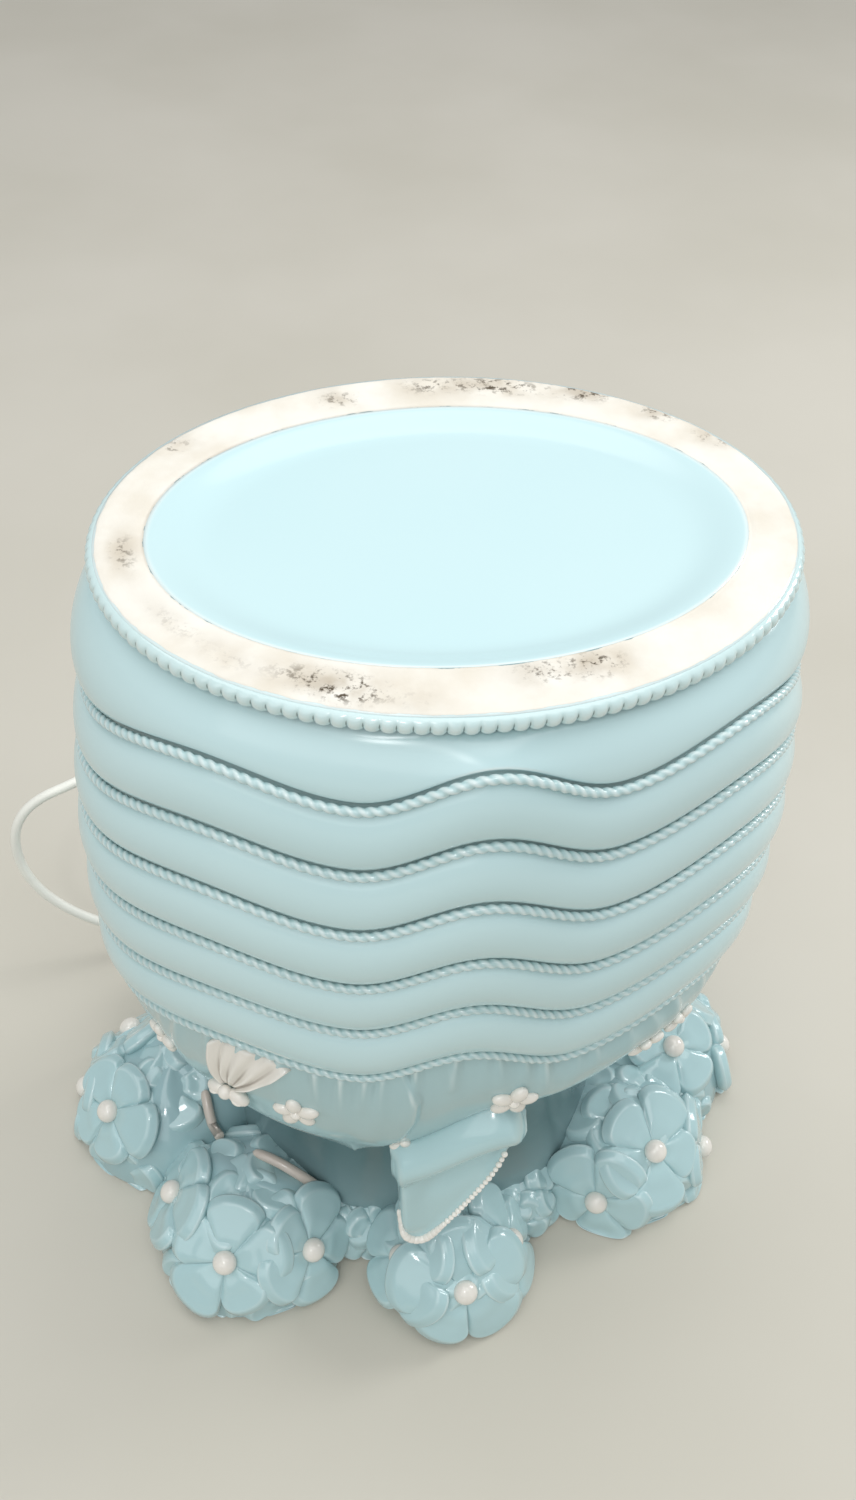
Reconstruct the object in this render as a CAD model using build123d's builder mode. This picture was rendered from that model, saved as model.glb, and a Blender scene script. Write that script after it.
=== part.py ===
"""Ceramic flower lamp that stands upside down on its flower crown. Millimetres, +Z up, floor at z = 0."""

import os
from math import cos, hypot, pi, radians, sin, sqrt, tan

from build123d import *

os.makedirs("parts", exist_ok=True)

# Where the body's axis stands in the frame, whose origin is below the middle of the object
AXIS_X = 1.7
AXIS_Y = -4.85

# Foot, at the top while the lamp stands on its crown
HEIGHT = 330.0
FOOT_WIDTH = 200.0
FOOT_DEPTH = 152.6
FOOT_RING_X = 14.0
FOOT_RING_Y = 17.4
FOOT_LIP = 2.4
FOOT_GRINDING = 1.0
RECESS_DEPTH = 4.0
FOOT_PLATE = 8.0
FOOT_PLATE_KEY = 4.0

# Grooves between the bands: drop below the foot, half width and half depth of the body there
GROOVES = [
    (30.0, 106.8, 82.3),
    (55.0, 111.3, 83.8),
    (79.0, 113.8, 86.3),
    (106.0, 114.8, 85.8),
    (134.0, 115.3, 83.3),
    (164.0, 113.3, 81.3),
]
GROOVE_HALF = 2.3
BAND_SWELL = 0.2
WALL = 9.0

# Crests and dips of the bands: degrees from the front or back middle, height
WAVE = [(0.0, 14.0), (25.0, 0.5), (48.0, 5.0), (90.0, -16.0)]

# Ropes
ROPE_RADIUS = 2.0
BEAD_RADIUS = 2.8
BEAD_INSET = 2.6
SEAT_GAP = 0.2

# Drape, neck and mouth
SKIRT_THICKNESS = 4.6
SKIRT_SWELL = 4.0
HEM_Z = 104.0
HEM_WIDTH = 192.0
HEM_DEPTH = 150.0
HEM_SCALLOP = 5.0
HEM_SCALLOPS = 8
HEM_POINT = -116.6
NECK_WIDTH = 144.0
NECK_DEPTH = 112.0
NECK_TOP = 90.0
NECK_WALL = 8.0
MOUTH_Z = 6.0
LEDGE = 6.0
LEDGE_Z = 82.0
LEDGE_HEIGHT = 10.0

# Sections per quarter of the rings that are lofted round the body, and arcs round a rope
SECTION_STEPS = 12
ROPE_STEPS = 36
HEADING_STEP = 1e-4

# Crown domes: name, place of the middle from the body's axis, radius, height
DOMES = [
    ("left", -106.0, 12.0, 42.0, 40.0),
    ("left_front", -76.0, -48.0, 40.0, 40.0),
    ("front", 3.0, -74.0, 30.0, 37.0),
    ("right_front", 84.0, -31.0, 38.0, 40.0),
    ("right", 104.0, 10.0, 40.0, 40.0),
    ("right_back", 60.0, 58.0, 34.0, 40.0),
    ("back", -2.0, 76.0, 32.0, 38.0),
    ("left_back", -66.0, 62.0, 38.0, 40.0),
]

# Blossoms on each dome: bearing and elevation in degrees, seen from the dome's middle
BLOSSOMS = {
    "left": [(-153, 43), (125, 39), (165, 12)],
    "left_front": [(168, 37), (-113, 44), (-46, 35)],
    "front": [(-160, 44), (-84, 39), (-12, 36)],
    "right_front": [(-117, 22), (-66, 54), (-15, 12)],
    "right": [(-60, 64), (40, 40), (0, 10)],
    "right_back": [(95, 46), (20, 42), (55, 8)],
    "back": [(165, 42), (88, 40), (15, 42)],
    "left_back": [(104, 44), (45, 42), (160, 40)],
}
PETALS = 5
PETAL_RADIUS = 9.0
PETAL_REACH = 12.5
BLOSSOM_THICKNESS = 6.0
BLOSSOM_SINK = 4.0
CENTRE_BEAD_RADIUS = 5.0

# Small white flowers on the drape: degrees round the body, share of the way down the skirt
DRAPE_FLOWERS = [
    (-164, 0.55), (-129, 0.62), (-101, 0.93), (-76, 0.72), (-40, 0.6), (-27, 0.35),
    (20, 0.6), (52, 0.75), (84, 0.6), (118, 0.8), (150, 0.55),
]
SMALL_PETAL_RADIUS = 3.2
SMALL_PETAL_REACH = 4.6
SMALL_FLOWER_THICKNESS = 3.4

# White fan and bow on the drape, at one bearing
FAN_BEARING = -143.0
FAN_SHARE = 0.72
FAN_RADIUS = 27.0
FAN_HUB = 5.0
FAN_SPREAD = 130.0
FAN_PLEATS = 7
FAN_PLEAT_DEPTH = 1.6
FAN_THICKNESS = 5.0
BOW_LENGTH = 15.0
BOW_WIDTH = 8.0
BOW_KNOT_RADIUS = 3.4
BOW_THICKNESS = 6.0

# Curled drape tail: middle of each cross section from the axis, lean of the run there, width
TAIL_SECTIONS = [
    ((22.0, -76.5, 112.0), 10.0, 24.0),
    ((20.0, -79.5, 100.0), 14.0, 26.0),
    ((16.0, -82.0, 88.0), 22.0, 27.0),
    ((9.0, -84.0, 76.0), 34.0, 26.0),
    ((-1.0, -86.0, 66.0), 46.0, 21.0),
    ((-12.0, -87.0, 57.0), 54.0, 12.0),
]
TAIL_THICKNESS = 5.0

# Lampholder and bulb, on the body's axis
HOLDER_PLATE_THICKNESS = 3.0
NIPPLE_RADIUS = 5.0
NIPPLE_BORE_RADIUS = 3.5
NIPPLE_ABOVE = 12.0
NUT_ACROSS_FLATS = 16.0
NUT_HEIGHT = 4.0
THREAD_GAP = 0.05
SHELL_RADIUS = 12.5
SHELL_LENGTH = 27.0
SHELL_ROOF = 4.0
SLEEVE_RADIUS = 8.4
SLEEVE_WALL = 1.2
BULB_CAP_RADIUS = 7.0
BULB_CAP_LENGTH = 21.0
BULB_RADIUS = 13.5
BULB_LENGTH = 38.0

# Flex
FLEX_DIAMETER = 4.5
FLEX_FLOOR_GAP = 0.15
GLAND_DROP = 78.5
GLAND_FLANGE_RADIUS = 7.0
GLAND_FLANGE = 3.0
GLAND_SHANK_RADIUS = 4.6
GLAND_SHANK = 17.0
GLAND_FIT = 0.1
RELIEF_LENGTH = 30.0
RELIEF_ROOT_RADIUS = 5.0
RELIEF_TIP_RADIUS = 3.0
SPOT_FACE_RADIUS = 7.6
SPOT_FACE_DEPTH = 1.5

# Switch in the flex, lying on the floor behind the crown
SWITCH_X = 30.0
SWITCH_Y = 138.0
SWITCH_LENGTH = 60.0
SWITCH_WIDTH = 22.0
SWITCH_BASE_HEIGHT = 8.0
SWITCH_COVER_HEIGHT = 8.0
SWITCH_FLEX_Z = 5.0
SWITCH_CORNER = 8.0
ROCKER_LENGTH = 20.0
ROCKER_WIDTH = 9.0
ROCKER_GAP = 0.9
ROCKER_TILT = 9.0
ROCKER_RISE = 3.6
ROCKER_ROOF = 2.2
ROCKER_PIN_RADIUS = 1.4
ROCKER_PIN_OVERHANG = 2.5
ROCKER_PIN_GAP = 0.06
ROCKER_PIN_DROP = 2.6

# Coil of the length that is put away: one tube in two layers
COIL_TURNS = 6.5
COIL_MIDDLE_RADIUS = 27.0
COIL_PITCH = 5.1
COIL_LINK = 40.0
TIE_THICKNESS = 1.0
TIE_WIDTH = 7.0
TIE_GAP = 0.6

# Two-pin plug
PLUG_LENGTH = 34.0
PLUG_WIDTH = 26.0
PLUG_NOSE_WIDTH = 14.0
PLUG_THICKNESS = 14.0
PLUG_TAIL = 36.0
PIN_RADIUS = 2.0
PIN_LENGTH = 19.0
PIN_SPACING = 18.6
PIN_TIP = 1.0

# Route of the lead from the gland to the switch, from the body's axis, after the gland's tip
LEAD_ROUTE = [
    (0.0, 150.0, 251.5),
    (-16.0, 174.0, 228.0),
    (-40.0, 178.0, 186.0),
    (-70.0, 160.0, 146.0),
    (-102.0, 138.0, 118.0),
    (-130.0, 124.0, 104.0),
    (-170.0, 112.0, 97.0),
    (-171.0, 104.0, 56.0),
    (-140.0, 98.0, 24.0),
    (-100.0, 104.0, 7.0),
    (-62.0, 118.0, 2.4),
    (-32.0, 132.0, 3.4),
    (-16.0, 138.0, 5.0),
]

# Route of the flex inside the body, from the axis, between the gland and the nipple
INNER_ROUTE = [
    (0.0, 58.0, 251.5),
    (0.0, 40.0, 238.0),
    (0.0, 22.0, 206.0),
    (0.0, 8.0, 170.0),
    (0.0, 0.0, 132.0),
]


def on_axis(x, y, z):
    """Point given from the body's axis, in the frame."""
    return Vector(AXIS_X + x, AXIS_Y + y, z)


def wall_plane(angle):
    """Upright plane through the body's axis: its x runs outwards, its y upwards."""
    outwards = (cos(angle), sin(angle), 0)
    return Plane(origin=(AXIS_X, AXIS_Y, 0), x_dir=outwards, z_dir=(sin(angle), -cos(angle), 0))


def oval(half_width, half_depth, angle):
    """Distance of an oval's edge from the axis."""
    return half_width * half_depth / hypot(half_depth * cos(angle), half_width * sin(angle))


def wave(angle):
    """Height of the bands' wave, the same at the front and the back."""
    from_front = abs(((angle + pi / 2) / pi * 180 + 180) % 360 - 180)
    folded = min(from_front, 180 - from_front)
    for (start, low), (end, high) in zip(WAVE, WAVE[1:]):
        if folded <= end:
            share = (folded - start) / (end - start)
            return low + (high - low) * (1 - cos(pi * share)) / 2
    return WAVE[-1][1]


def groove_point(index, angle):
    """Middle of a groove: distance from the axis and height."""
    drop, half_width, half_depth = GROOVES[index]
    return oval(half_width, half_depth, angle), HEIGHT - drop + wave(angle)


def swollen(start, end, share):
    """Middle point of an arc that swells outwards between two points of a section."""
    run, rise = end[0] - start[0], end[1] - start[1]
    return (start[0] + end[0]) / 2 - rise * share, (start[1] + end[1]) / 2 + run * share


def foot_radius(angle):
    return oval(FOOT_WIDTH / 2, FOOT_DEPTH / 2, angle)


def bead_seat_radius(angle):
    return foot_radius(angle) - BEAD_INSET


BEAD_ROPE_Z = HEIGHT - FOOT_LIP - BEAD_RADIUS - SEAT_GAP
BEAD_SEAT_BOTTOM = BEAD_ROPE_Z - BEAD_RADIUS - SEAT_GAP


def hem_radius(angle):
    return oval(HEM_WIDTH / 2, HEM_DEPTH / 2, angle)


def hem_height(angle):
    """The hem rises and falls in scallops, with a point at one bearing."""
    return HEM_Z + HEM_SCALLOP * abs(sin(HEM_SCALLOPS * (angle - radians(HEM_POINT)) / 2))


def skirt_line(angle):
    """Top and bottom of the line that the skirt lies on."""
    radius, height = groove_point(-1, angle)
    top = (radius - SKIRT_THICKNESS, height - GROOVE_HALF)
    return top, (hem_radius(angle) - SKIRT_THICKNESS, HEM_Z)


def draw_vessel(angle):
    """Outline of the body's wall in one upright plane."""
    foot = foot_radius(angle)
    ring = oval(FOOT_WIDTH / 2 - FOOT_RING_X, FOOT_DEPTH / 2 - FOOT_RING_Y, angle)
    neck = oval(NECK_WIDTH / 2, NECK_DEPTH / 2, angle)
    bore = oval(NECK_WIDTH / 2 - NECK_WALL, NECK_DEPTH / 2 - NECK_WALL, angle)
    seat = bead_seat_radius(angle)
    lip_z = HEIGHT - FOOT_LIP
    rough_top = HEIGHT + FOOT_GRINDING
    Polyline((ring, rough_top), (foot, rough_top), (foot, lip_z), (seat, lip_z), (seat, BEAD_SEAT_BOTTOM))
    last = (seat, BEAD_SEAT_BOTTOM)
    for index in range(len(GROOVES)):
        radius, height = groove_point(index, angle)
        upper = (radius, height + GROOVE_HALF)
        ThreePointArc(last, swollen(last, upper, BAND_SWELL), upper)
        last = (radius, height - GROOVE_HALF)
        Line(upper, last)
    top, bottom = skirt_line(angle)
    inside = [(bore, MOUTH_Z), (bore, LEDGE_Z), (bore - LEDGE, LEDGE_Z), (bore - LEDGE, LEDGE_Z + LEDGE_HEIGHT)]
    for drop, half_width, half_depth in reversed(GROOVES):
        inside.append((oval(half_width - WALL, half_depth - WALL, angle), HEIGHT - drop))
    inside.append((ring, HEIGHT - RECESS_DEPTH - FOOT_PLATE - WALL))
    Polyline(last, top, bottom, (neck, NECK_TOP), (neck, MOUTH_Z), *inside, (ring, rough_top))


def draw_skirt(angle):
    """Outline of the drape in one upright plane."""
    radius, height = groove_point(-1, angle)
    top, bottom = skirt_line(angle)
    share = (top[1] - hem_height(angle)) / (top[1] - bottom[1])
    inner_hem = (top[0] + (bottom[0] - top[0]) * share + SEAT_GAP, hem_height(angle))
    outer_top = (radius, height - GROOVE_HALF - SEAT_GAP)
    outer_hem = (inner_hem[0] + SKIRT_THICKNESS, inner_hem[1])
    inner_top = (top[0] + SEAT_GAP, outer_top[1])
    ThreePointArc(outer_top, swollen(outer_top, outer_hem, SKIRT_SWELL / (top[1] - HEM_Z)), outer_hem)
    Polyline(outer_hem, inner_hem, inner_top, outer_top)


def skirt_point(bearing, share):
    """Point and outward direction on the drape."""
    angle = radians(bearing)
    radius, height = groove_point(-1, angle)
    drop = height - GROOVE_HALF - hem_height(angle)
    outer_hem = hem_radius(angle)
    swell = 4 * SKIRT_SWELL * share * (1 - share)
    along = radius + (outer_hem - radius) * share + swell
    place = on_axis(along * cos(angle), along * sin(angle), height - GROOVE_HALF - drop * share)
    across = Vector(-sin(angle), cos(angle), 0)
    slope = (outer_hem - radius + 4 * SKIRT_SWELL * (1 - 2 * share)) / drop
    downwards = Vector(slope * cos(angle), slope * sin(angle), -1)
    return place, downwards.cross(across).normalized()


def ring_of_sections(draw):
    """Ring round the body, lofted through its outlines in upright planes, a quarter at a time."""
    with BuildPart() as ring:
        for quarter in range(4):
            for step in range(SECTION_STEPS + 1):
                angle = radians(90 * (quarter + step / SECTION_STEPS))
                with BuildSketch(wall_plane(angle)):
                    with BuildLine():
                        draw(angle)
                    make_face()
            loft()
    return ring


def biarc(start, heading, end, end_heading):
    """Two tangent arcs between two points, each with its heading."""
    chord = end - start
    lean = chord.dot(heading + end_heading)
    spread = 2 * (1 - heading.dot(end_heading))
    reach = (sqrt(lean * lean + spread * chord.dot(chord)) - lean) / spread
    middle = (start + end + (heading - end_heading) * reach) * 0.5
    first = TangentArc(start, middle, tangent=heading)
    TangentArc(middle, end, tangent=first % 1)


def heading_of(place, at):
    """Direction in which a curve runs on."""
    return (place(at + HEADING_STEP) - place(at - HEADING_STEP)).normalized()


def draw_curve(place, stops):
    """Smooth line of tangent arcs through the curve's points at the given stops."""
    for at, after in zip(stops, stops[1:]):
        biarc(place(at), heading_of(place, at), place(after), heading_of(place, after))


def closed_rope(place, radius):
    """Round rope along a closed curve round the body."""
    stops = [2 * pi * step / ROPE_STEPS for step in range(ROPE_STEPS + 1)]
    with BuildPart() as rope:
        with BuildLine() as path:
            draw_curve(place, stops)
        with BuildSketch(Plane(origin=path.line @ 0, z_dir=path.line % 0)):
            Circle(radius)
        sweep()
    return rope


def rope_ring(index):
    """Twisted rope that lies in a groove."""
    def place(angle):
        radius, height = groove_point(index, angle)
        along = radius + ROPE_RADIUS + SEAT_GAP
        return on_axis(along * cos(angle), along * sin(angle), height)
    return closed_rope(place, ROPE_RADIUS)


def bead_rope_place(angle):
    along = bead_seat_radius(angle) + BEAD_RADIUS + SEAT_GAP
    return on_axis(along * cos(angle), along * sin(angle), BEAD_ROPE_Z)


def save(piece, name):
    """Labels a piece and writes its file."""
    piece.part.label = name
    export_step(piece.part, f"parts/{name}.step")


# Body

vessel_wall = ring_of_sections(draw_vessel)

BACK = pi / 2
gland_z = HEIGHT - GLAND_DROP
groove_above = groove_point(2, BACK)
groove_below = groove_point(3, BACK)
band_height = groove_above[1] - groove_below[1] - 2 * GROOVE_HALF
band_front = (groove_above[0] + groove_below[0]) / 2 + BAND_SWELL * band_height
spot_face_y = band_front - SPOT_FACE_DEPTH
gland_seat = Plane(origin=on_axis(0, spot_face_y, gland_z), x_dir=(1, 0, 0), z_dir=(0, 1, 0))

with BuildPart() as vessel_body:
    add(vessel_wall.part)
    split(bisect_by=Plane.XY.offset(HEIGHT), keep=Keep.BOTTOM)
    with BuildSketch(Plane.XY.offset(HEIGHT - RECESS_DEPTH)):
        with Locations((AXIS_X, AXIS_Y)):
            Ellipse(
                FOOT_WIDTH / 2 - FOOT_RING_X + FOOT_PLATE_KEY,
                FOOT_DEPTH / 2 - FOOT_RING_Y + FOOT_PLATE_KEY,
            )
    extrude(amount=-FOOT_PLATE)
    with BuildSketch(gland_seat):
        Circle(SPOT_FACE_RADIUS)
    extrude(amount=2 * SPOT_FACE_DEPTH + WALL, mode=Mode.SUBTRACT)
    with BuildSketch(gland_seat):
        Circle(GLAND_SHANK_RADIUS + GLAND_FIT)
    extrude(amount=-3 * WALL, mode=Mode.SUBTRACT)
save(vessel_body, "vessel_body")

# Ropes

save(closed_rope(bead_rope_place, BEAD_RADIUS), "foot_bead_rope")
for number in range(len(GROOVES)):
    save(rope_ring(number), f"tier_rope_{number + 1}")

# Drape and what is on it

drape_skirt = ring_of_sections(draw_skirt)
save(drape_skirt, "drape_skirt")

with BuildPart() as drape_tail:
    for middle, lean, width in TAIL_SECTIONS:
        aside, down = sin(radians(lean)), cos(radians(lean))
        with BuildSketch(Plane(origin=on_axis(*middle), x_dir=(down, 0, -aside), z_dir=(-aside, 0, -down))):
            RectangleRounded(width, TAIL_THICKNESS, TAIL_THICKNESS / 3)
    loft(ruled=True)
    add(drape_skirt.part, mode=Mode.SUBTRACT)
save(drape_tail, "drape_tail")

fan_place, fan_outwards = skirt_point(FAN_BEARING, FAN_SHARE)
fan_up = Vector(0, 0, 1) - fan_outwards * fan_outwards.Z
fan_plane = Plane(origin=fan_place, x_dir=fan_up.cross(fan_outwards), z_dir=fan_outwards)

with BuildPart() as fan_bow:
    with BuildSketch(fan_plane.offset(-BOW_THICKNESS / 2)):
        Circle(BOW_KNOT_RADIUS)
        with Locations((BOW_LENGTH / 4, -BOW_WIDTH / 6, 0)):
            Ellipse(BOW_LENGTH / 3, BOW_WIDTH / 3)
        with Locations((-BOW_LENGTH / 4, -BOW_WIDTH / 6, 0)):
            Ellipse(BOW_LENGTH / 3, BOW_WIDTH / 3)
    extrude(amount=BOW_THICKNESS)
    add(drape_skirt.part, mode=Mode.SUBTRACT)
save(fan_bow, "fan_bow")

fan_points = []
for fold in range(2 * FAN_PLEATS + 1):
    turn = radians(90 + FAN_SPREAD * (fold / (2 * FAN_PLEATS) - 0.5))
    reach = FAN_RADIUS - FAN_PLEAT_DEPTH * (fold % 2)
    fan_points.append((reach * cos(turn), reach * sin(turn)))
with BuildPart() as pleated_fan:
    with BuildSketch(fan_plane.offset(-FAN_THICKNESS / 2)):
        with BuildLine():
            Polyline((0, FAN_HUB), *fan_points, (0, FAN_HUB))
        make_face()
    extrude(amount=FAN_THICKNESS)
    add(drape_skirt.part, mode=Mode.SUBTRACT)
    add(fan_bow.part, mode=Mode.SUBTRACT)
save(pleated_fan, "pleated_fan")

with BuildPart() as drape_flowers:
    for bearing, share in DRAPE_FLOWERS:
        place, outwards = skirt_point(bearing, share)
        with BuildSketch(Plane(origin=place, z_dir=outwards).offset(-SMALL_FLOWER_THICKNESS / 2)):
            Circle(SMALL_PETAL_REACH)
            with PolarLocations(SMALL_PETAL_REACH, PETALS):
                Circle(SMALL_PETAL_RADIUS)
        extrude(amount=SMALL_FLOWER_THICKNESS)
    add(drape_skirt.part, mode=Mode.SUBTRACT)
save(drape_flowers, "drape_flowers")

# Crown

domes = {}
for name, x, y, radius, height in DOMES:
    with BuildPart() as dome:
        with Locations(on_axis(x, y, height - radius)):
            Sphere(radius)
        split(bisect_by=Plane.XY, keep=Keep.TOP)
        with BuildSketch():
            with Locations((AXIS_X, AXIS_Y)):
                Ellipse(NECK_WIDTH / 2 + SEAT_GAP, NECK_DEPTH / 2 + SEAT_GAP)
        extrude(amount=HEIGHT, mode=Mode.SUBTRACT)
        for earlier in domes.values():
            add(earlier.part, mode=Mode.SUBTRACT)
    domes[name] = dome
    save(dome, f"bouquet_{name}")


def blossom_plane(name, bearing, elevation):
    """Plane that a blossom lies on: it touches the dome and faces outwards."""
    _, x, y, radius, height = next(row for row in DOMES if row[0] == name)
    level_share, climb = cos(radians(elevation)), sin(radians(elevation))
    across = (cos(radians(bearing)), sin(radians(bearing)))
    outwards = Vector(level_share * across[0], level_share * across[1], climb)
    return Plane(origin=on_axis(x, y, height - radius) + outwards * radius, z_dir=outwards)


placed = []
bead_planes = []
for name, places in BLOSSOMS.items():
    with BuildPart() as blossoms:
        for bearing, elevation in places:
            face = blossom_plane(name, bearing, elevation)
            bead_planes.append(face.offset(BLOSSOM_THICKNESS - BLOSSOM_SINK))
            with BuildSketch(face.offset(-BLOSSOM_SINK)):
                Circle(PETAL_REACH)
                with PolarLocations(PETAL_REACH, PETALS):
                    Circle(PETAL_RADIUS)
            extrude(amount=BLOSSOM_THICKNESS)
        for dome in domes.values():
            add(dome.part, mode=Mode.SUBTRACT)
        for earlier in placed:
            add(earlier.part, mode=Mode.SUBTRACT)
        split(bisect_by=Plane.XY, keep=Keep.TOP)
    placed.append(blossoms)
    save(blossoms, f"blossoms_{name}")

with BuildPart() as blossom_beads:
    for face in bead_planes:
        with Locations(face):
            Sphere(CENTRE_BEAD_RADIUS, arc_size1=0, align=(Align.CENTER, Align.CENTER, Align.MIN))
save(blossom_beads, "blossom_beads")

# Lampholder and bulb

plate_bottom = LEDGE_Z - HOLDER_PLATE_THICKNESS
shell_top = plate_bottom - NUT_HEIGHT
roof_bottom = shell_top - SHELL_ROOF
shell_bottom = shell_top - SHELL_LENGTH
thread_hole = NIPPLE_RADIUS + THREAD_GAP


def level(height):
    """Level plane on the body's axis."""
    return Plane(origin=on_axis(0, 0, height))


def ring_piece(outer, inner, top, bottom):
    """Round sleeve on the body's axis."""
    with BuildPart() as ring:
        with BuildSketch(level(bottom)):
            Circle(outer)
            Circle(inner, mode=Mode.SUBTRACT)
        extrude(amount=top - bottom)
    return ring


def nut(bottom):
    """Hexagon nut on the nipple."""
    with BuildPart() as piece:
        with BuildSketch(level(bottom)):
            RegularPolygon(NUT_ACROSS_FLATS / 2, 6, major_radius=False)
            Circle(thread_hole, mode=Mode.SUBTRACT)
        extrude(amount=NUT_HEIGHT)
    return piece


with BuildPart() as holder_plate:
    with BuildSketch(level(plate_bottom)):
        Ellipse(NECK_WIDTH / 2 - NECK_WALL - SEAT_GAP, NECK_DEPTH / 2 - NECK_WALL - SEAT_GAP)
        Circle(thread_hole, mode=Mode.SUBTRACT)
    extrude(amount=HOLDER_PLATE_THICKNESS)
save(holder_plate, "holder_plate")
save(ring_piece(NIPPLE_RADIUS, NIPPLE_BORE_RADIUS, LEDGE_Z + NIPPLE_ABOVE, roof_bottom), "holder_nipple")
save(nut(LEDGE_Z), "nipple_nut_top")
save(nut(shell_top), "nipple_nut_bottom")

with BuildPart() as lampholder_shell:
    with BuildSketch(level(shell_bottom)):
        Circle(SHELL_RADIUS)
    extrude(amount=SHELL_LENGTH)
    with BuildSketch(level(shell_bottom)):
        Circle(SLEEVE_RADIUS + SEAT_GAP)
    extrude(amount=SHELL_LENGTH - SHELL_ROOF, mode=Mode.SUBTRACT)
    with BuildSketch(level(shell_bottom)):
        Circle(thread_hole)
    extrude(amount=SHELL_LENGTH, mode=Mode.SUBTRACT)
    fillet(lampholder_shell.edges().filter_by(GeomType.CIRCLE).group_by(SortBy.RADIUS)[-1], SHELL_ROOF / 4)
save(lampholder_shell, "lampholder_shell")
save(ring_piece(SLEEVE_RADIUS, SLEEVE_RADIUS - SLEEVE_WALL, roof_bottom, shell_bottom), "lampholder_sleeve")

cap_bottom = shell_bottom
with BuildPart() as bulb_cap:
    with BuildSketch(level(cap_bottom)):
        Circle(BULB_CAP_RADIUS)
    extrude(amount=BULB_CAP_LENGTH)
    chamfer(bulb_cap.faces().sort_by(Axis.Z)[-1].edges(), BULB_CAP_RADIUS / 4)
save(bulb_cap, "bulb_cap")

bulb_tip = cap_bottom - BULB_LENGTH
bulb_middle = bulb_tip + BULB_RADIUS
shoulder = ((BULB_CAP_RADIUS + 2 * BULB_RADIUS) / 3, (cap_bottom + bulb_middle) / 2)
with BuildPart() as bulb_glass:
    with BuildSketch(wall_plane(0)):
        with BuildLine():
            Polyline((0, bulb_tip), (0, cap_bottom), (BULB_CAP_RADIUS, cap_bottom))
            ThreePointArc((BULB_CAP_RADIUS, cap_bottom), shoulder, (BULB_RADIUS, bulb_middle))
            CenterArc((0, bulb_middle), BULB_RADIUS, -90, 90)
        make_face()
    revolve(axis=Axis(on_axis(0, 0, 0), (0, 0, 1)))
save(bulb_glass, "bulb_glass")

# Flex


def corner_radii(points):
    """Largest arc that each corner's two runs leave room for."""
    radii = []
    for before, corner, after in zip(points, points[1:], points[2:]):
        turn = radians((corner - before).get_angle(after - corner))
        shorter = min((corner - before).length, (after - corner).length)
        radii.append(0.45 * shorter / tan(turn / 2))
    return radii


def flex_tube(points, name):
    """Stretch of flex along straight runs joined by tangent arcs."""
    radii = corner_radii(points)
    with BuildPart() as tube:
        with BuildLine() as path:
            FilletPolyline(*points, radius=radii)
        with BuildSketch(Plane(origin=path.line @ 0, z_dir=path.line % 0)):
            Circle(FLEX_DIAMETER / 2)
        sweep()
    length = sum(edge.length for edge in path.edges())
    share = tube.part.volume / (pi * FLEX_DIAMETER**2 / 4 * length)
    rounded = [round(radius) for radius in radii]
    print(name, "length", round(length), "share of volume", round(share, 4), "radii", rounded)
    save(tube, name)


tip_y = spot_face_y + GLAND_FLANGE + RELIEF_LENGTH
with BuildPart() as flex_gland:
    with BuildSketch(gland_seat):
        Circle(GLAND_FLANGE_RADIUS)
    extrude(amount=GLAND_FLANGE)
    with BuildSketch(gland_seat):
        Circle(GLAND_SHANK_RADIUS)
    extrude(amount=-GLAND_SHANK)
    with BuildSketch(gland_seat.offset(GLAND_FLANGE)):
        Circle(RELIEF_ROOT_RADIUS)
    with BuildSketch(gland_seat.offset(GLAND_FLANGE + RELIEF_LENGTH)):
        Circle(RELIEF_TIP_RADIUS)
    loft()
save(flex_gland, "flex_gland")

inner_start = on_axis(0, spot_face_y - GLAND_SHANK, gland_z)
inner_points = [inner_start] + [on_axis(*point) for point in INNER_ROUTE] + [on_axis(0, 0, roof_bottom)]
flex_tube(inner_points, "inner_lead")

switch_left = on_axis(SWITCH_X - SWITCH_LENGTH / 2, SWITCH_Y, SWITCH_FLEX_Z)
switch_right = on_axis(SWITCH_X + SWITCH_LENGTH / 2, SWITCH_Y, SWITCH_FLEX_Z)
lead_points = [on_axis(0, tip_y, gland_z)] + [on_axis(*point) for point in LEAD_ROUTE] + [switch_left]
flex_tube(lead_points, "flex_lead")

# Coil, wound inwards on the lower layer and outwards on the upper one

half_turns = COIL_TURNS / 2
coil_outer = COIL_MIDDLE_RADIUS + COIL_PITCH * half_turns / 2
coil_x = AXIS_X + SWITCH_X + SWITCH_LENGTH / 2 + COIL_LINK
coil_y = AXIS_Y + SWITCH_Y + coil_outer
coil_z = TIE_THICKNESS + TIE_GAP + FLEX_DIAMETER / 2
REVERSAL = 0.25


def coil_place(turn):
    """Point of the coil's line: the spiral reverses and climbs within half a turn."""
    from_middle = abs(turn - half_turns)
    inwards = from_middle
    climb = 0.0 if turn < half_turns else 1.0
    if from_middle < REVERSAL:
        inwards = (from_middle**2 / REVERSAL + REVERSAL) / 2
        climb = (1 + sin((turn - half_turns) / REVERSAL * pi / 2)) / 2
    radius = coil_outer - COIL_PITCH * (half_turns - inwards)
    angle = 2 * pi * turn - pi / 2
    return Vector(coil_x + radius * cos(angle), coil_y + radius * sin(angle), coil_z + COIL_PITCH * climb)


def least_self_gap(place, first, last, turn_steps=48):
    """Least room between a coil's turns, measured on points."""
    count = round((last - first) * turn_steps)
    points = [place(first + step / turn_steps) for step in range(count + 1)]
    apart = turn_steps // 2
    pairs = ((a, b) for a in range(count + 1) for b in range(a + apart, count + 1))
    return min((points[a] - points[b]).length for a, b in pairs) - FLEX_DIAMETER


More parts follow.
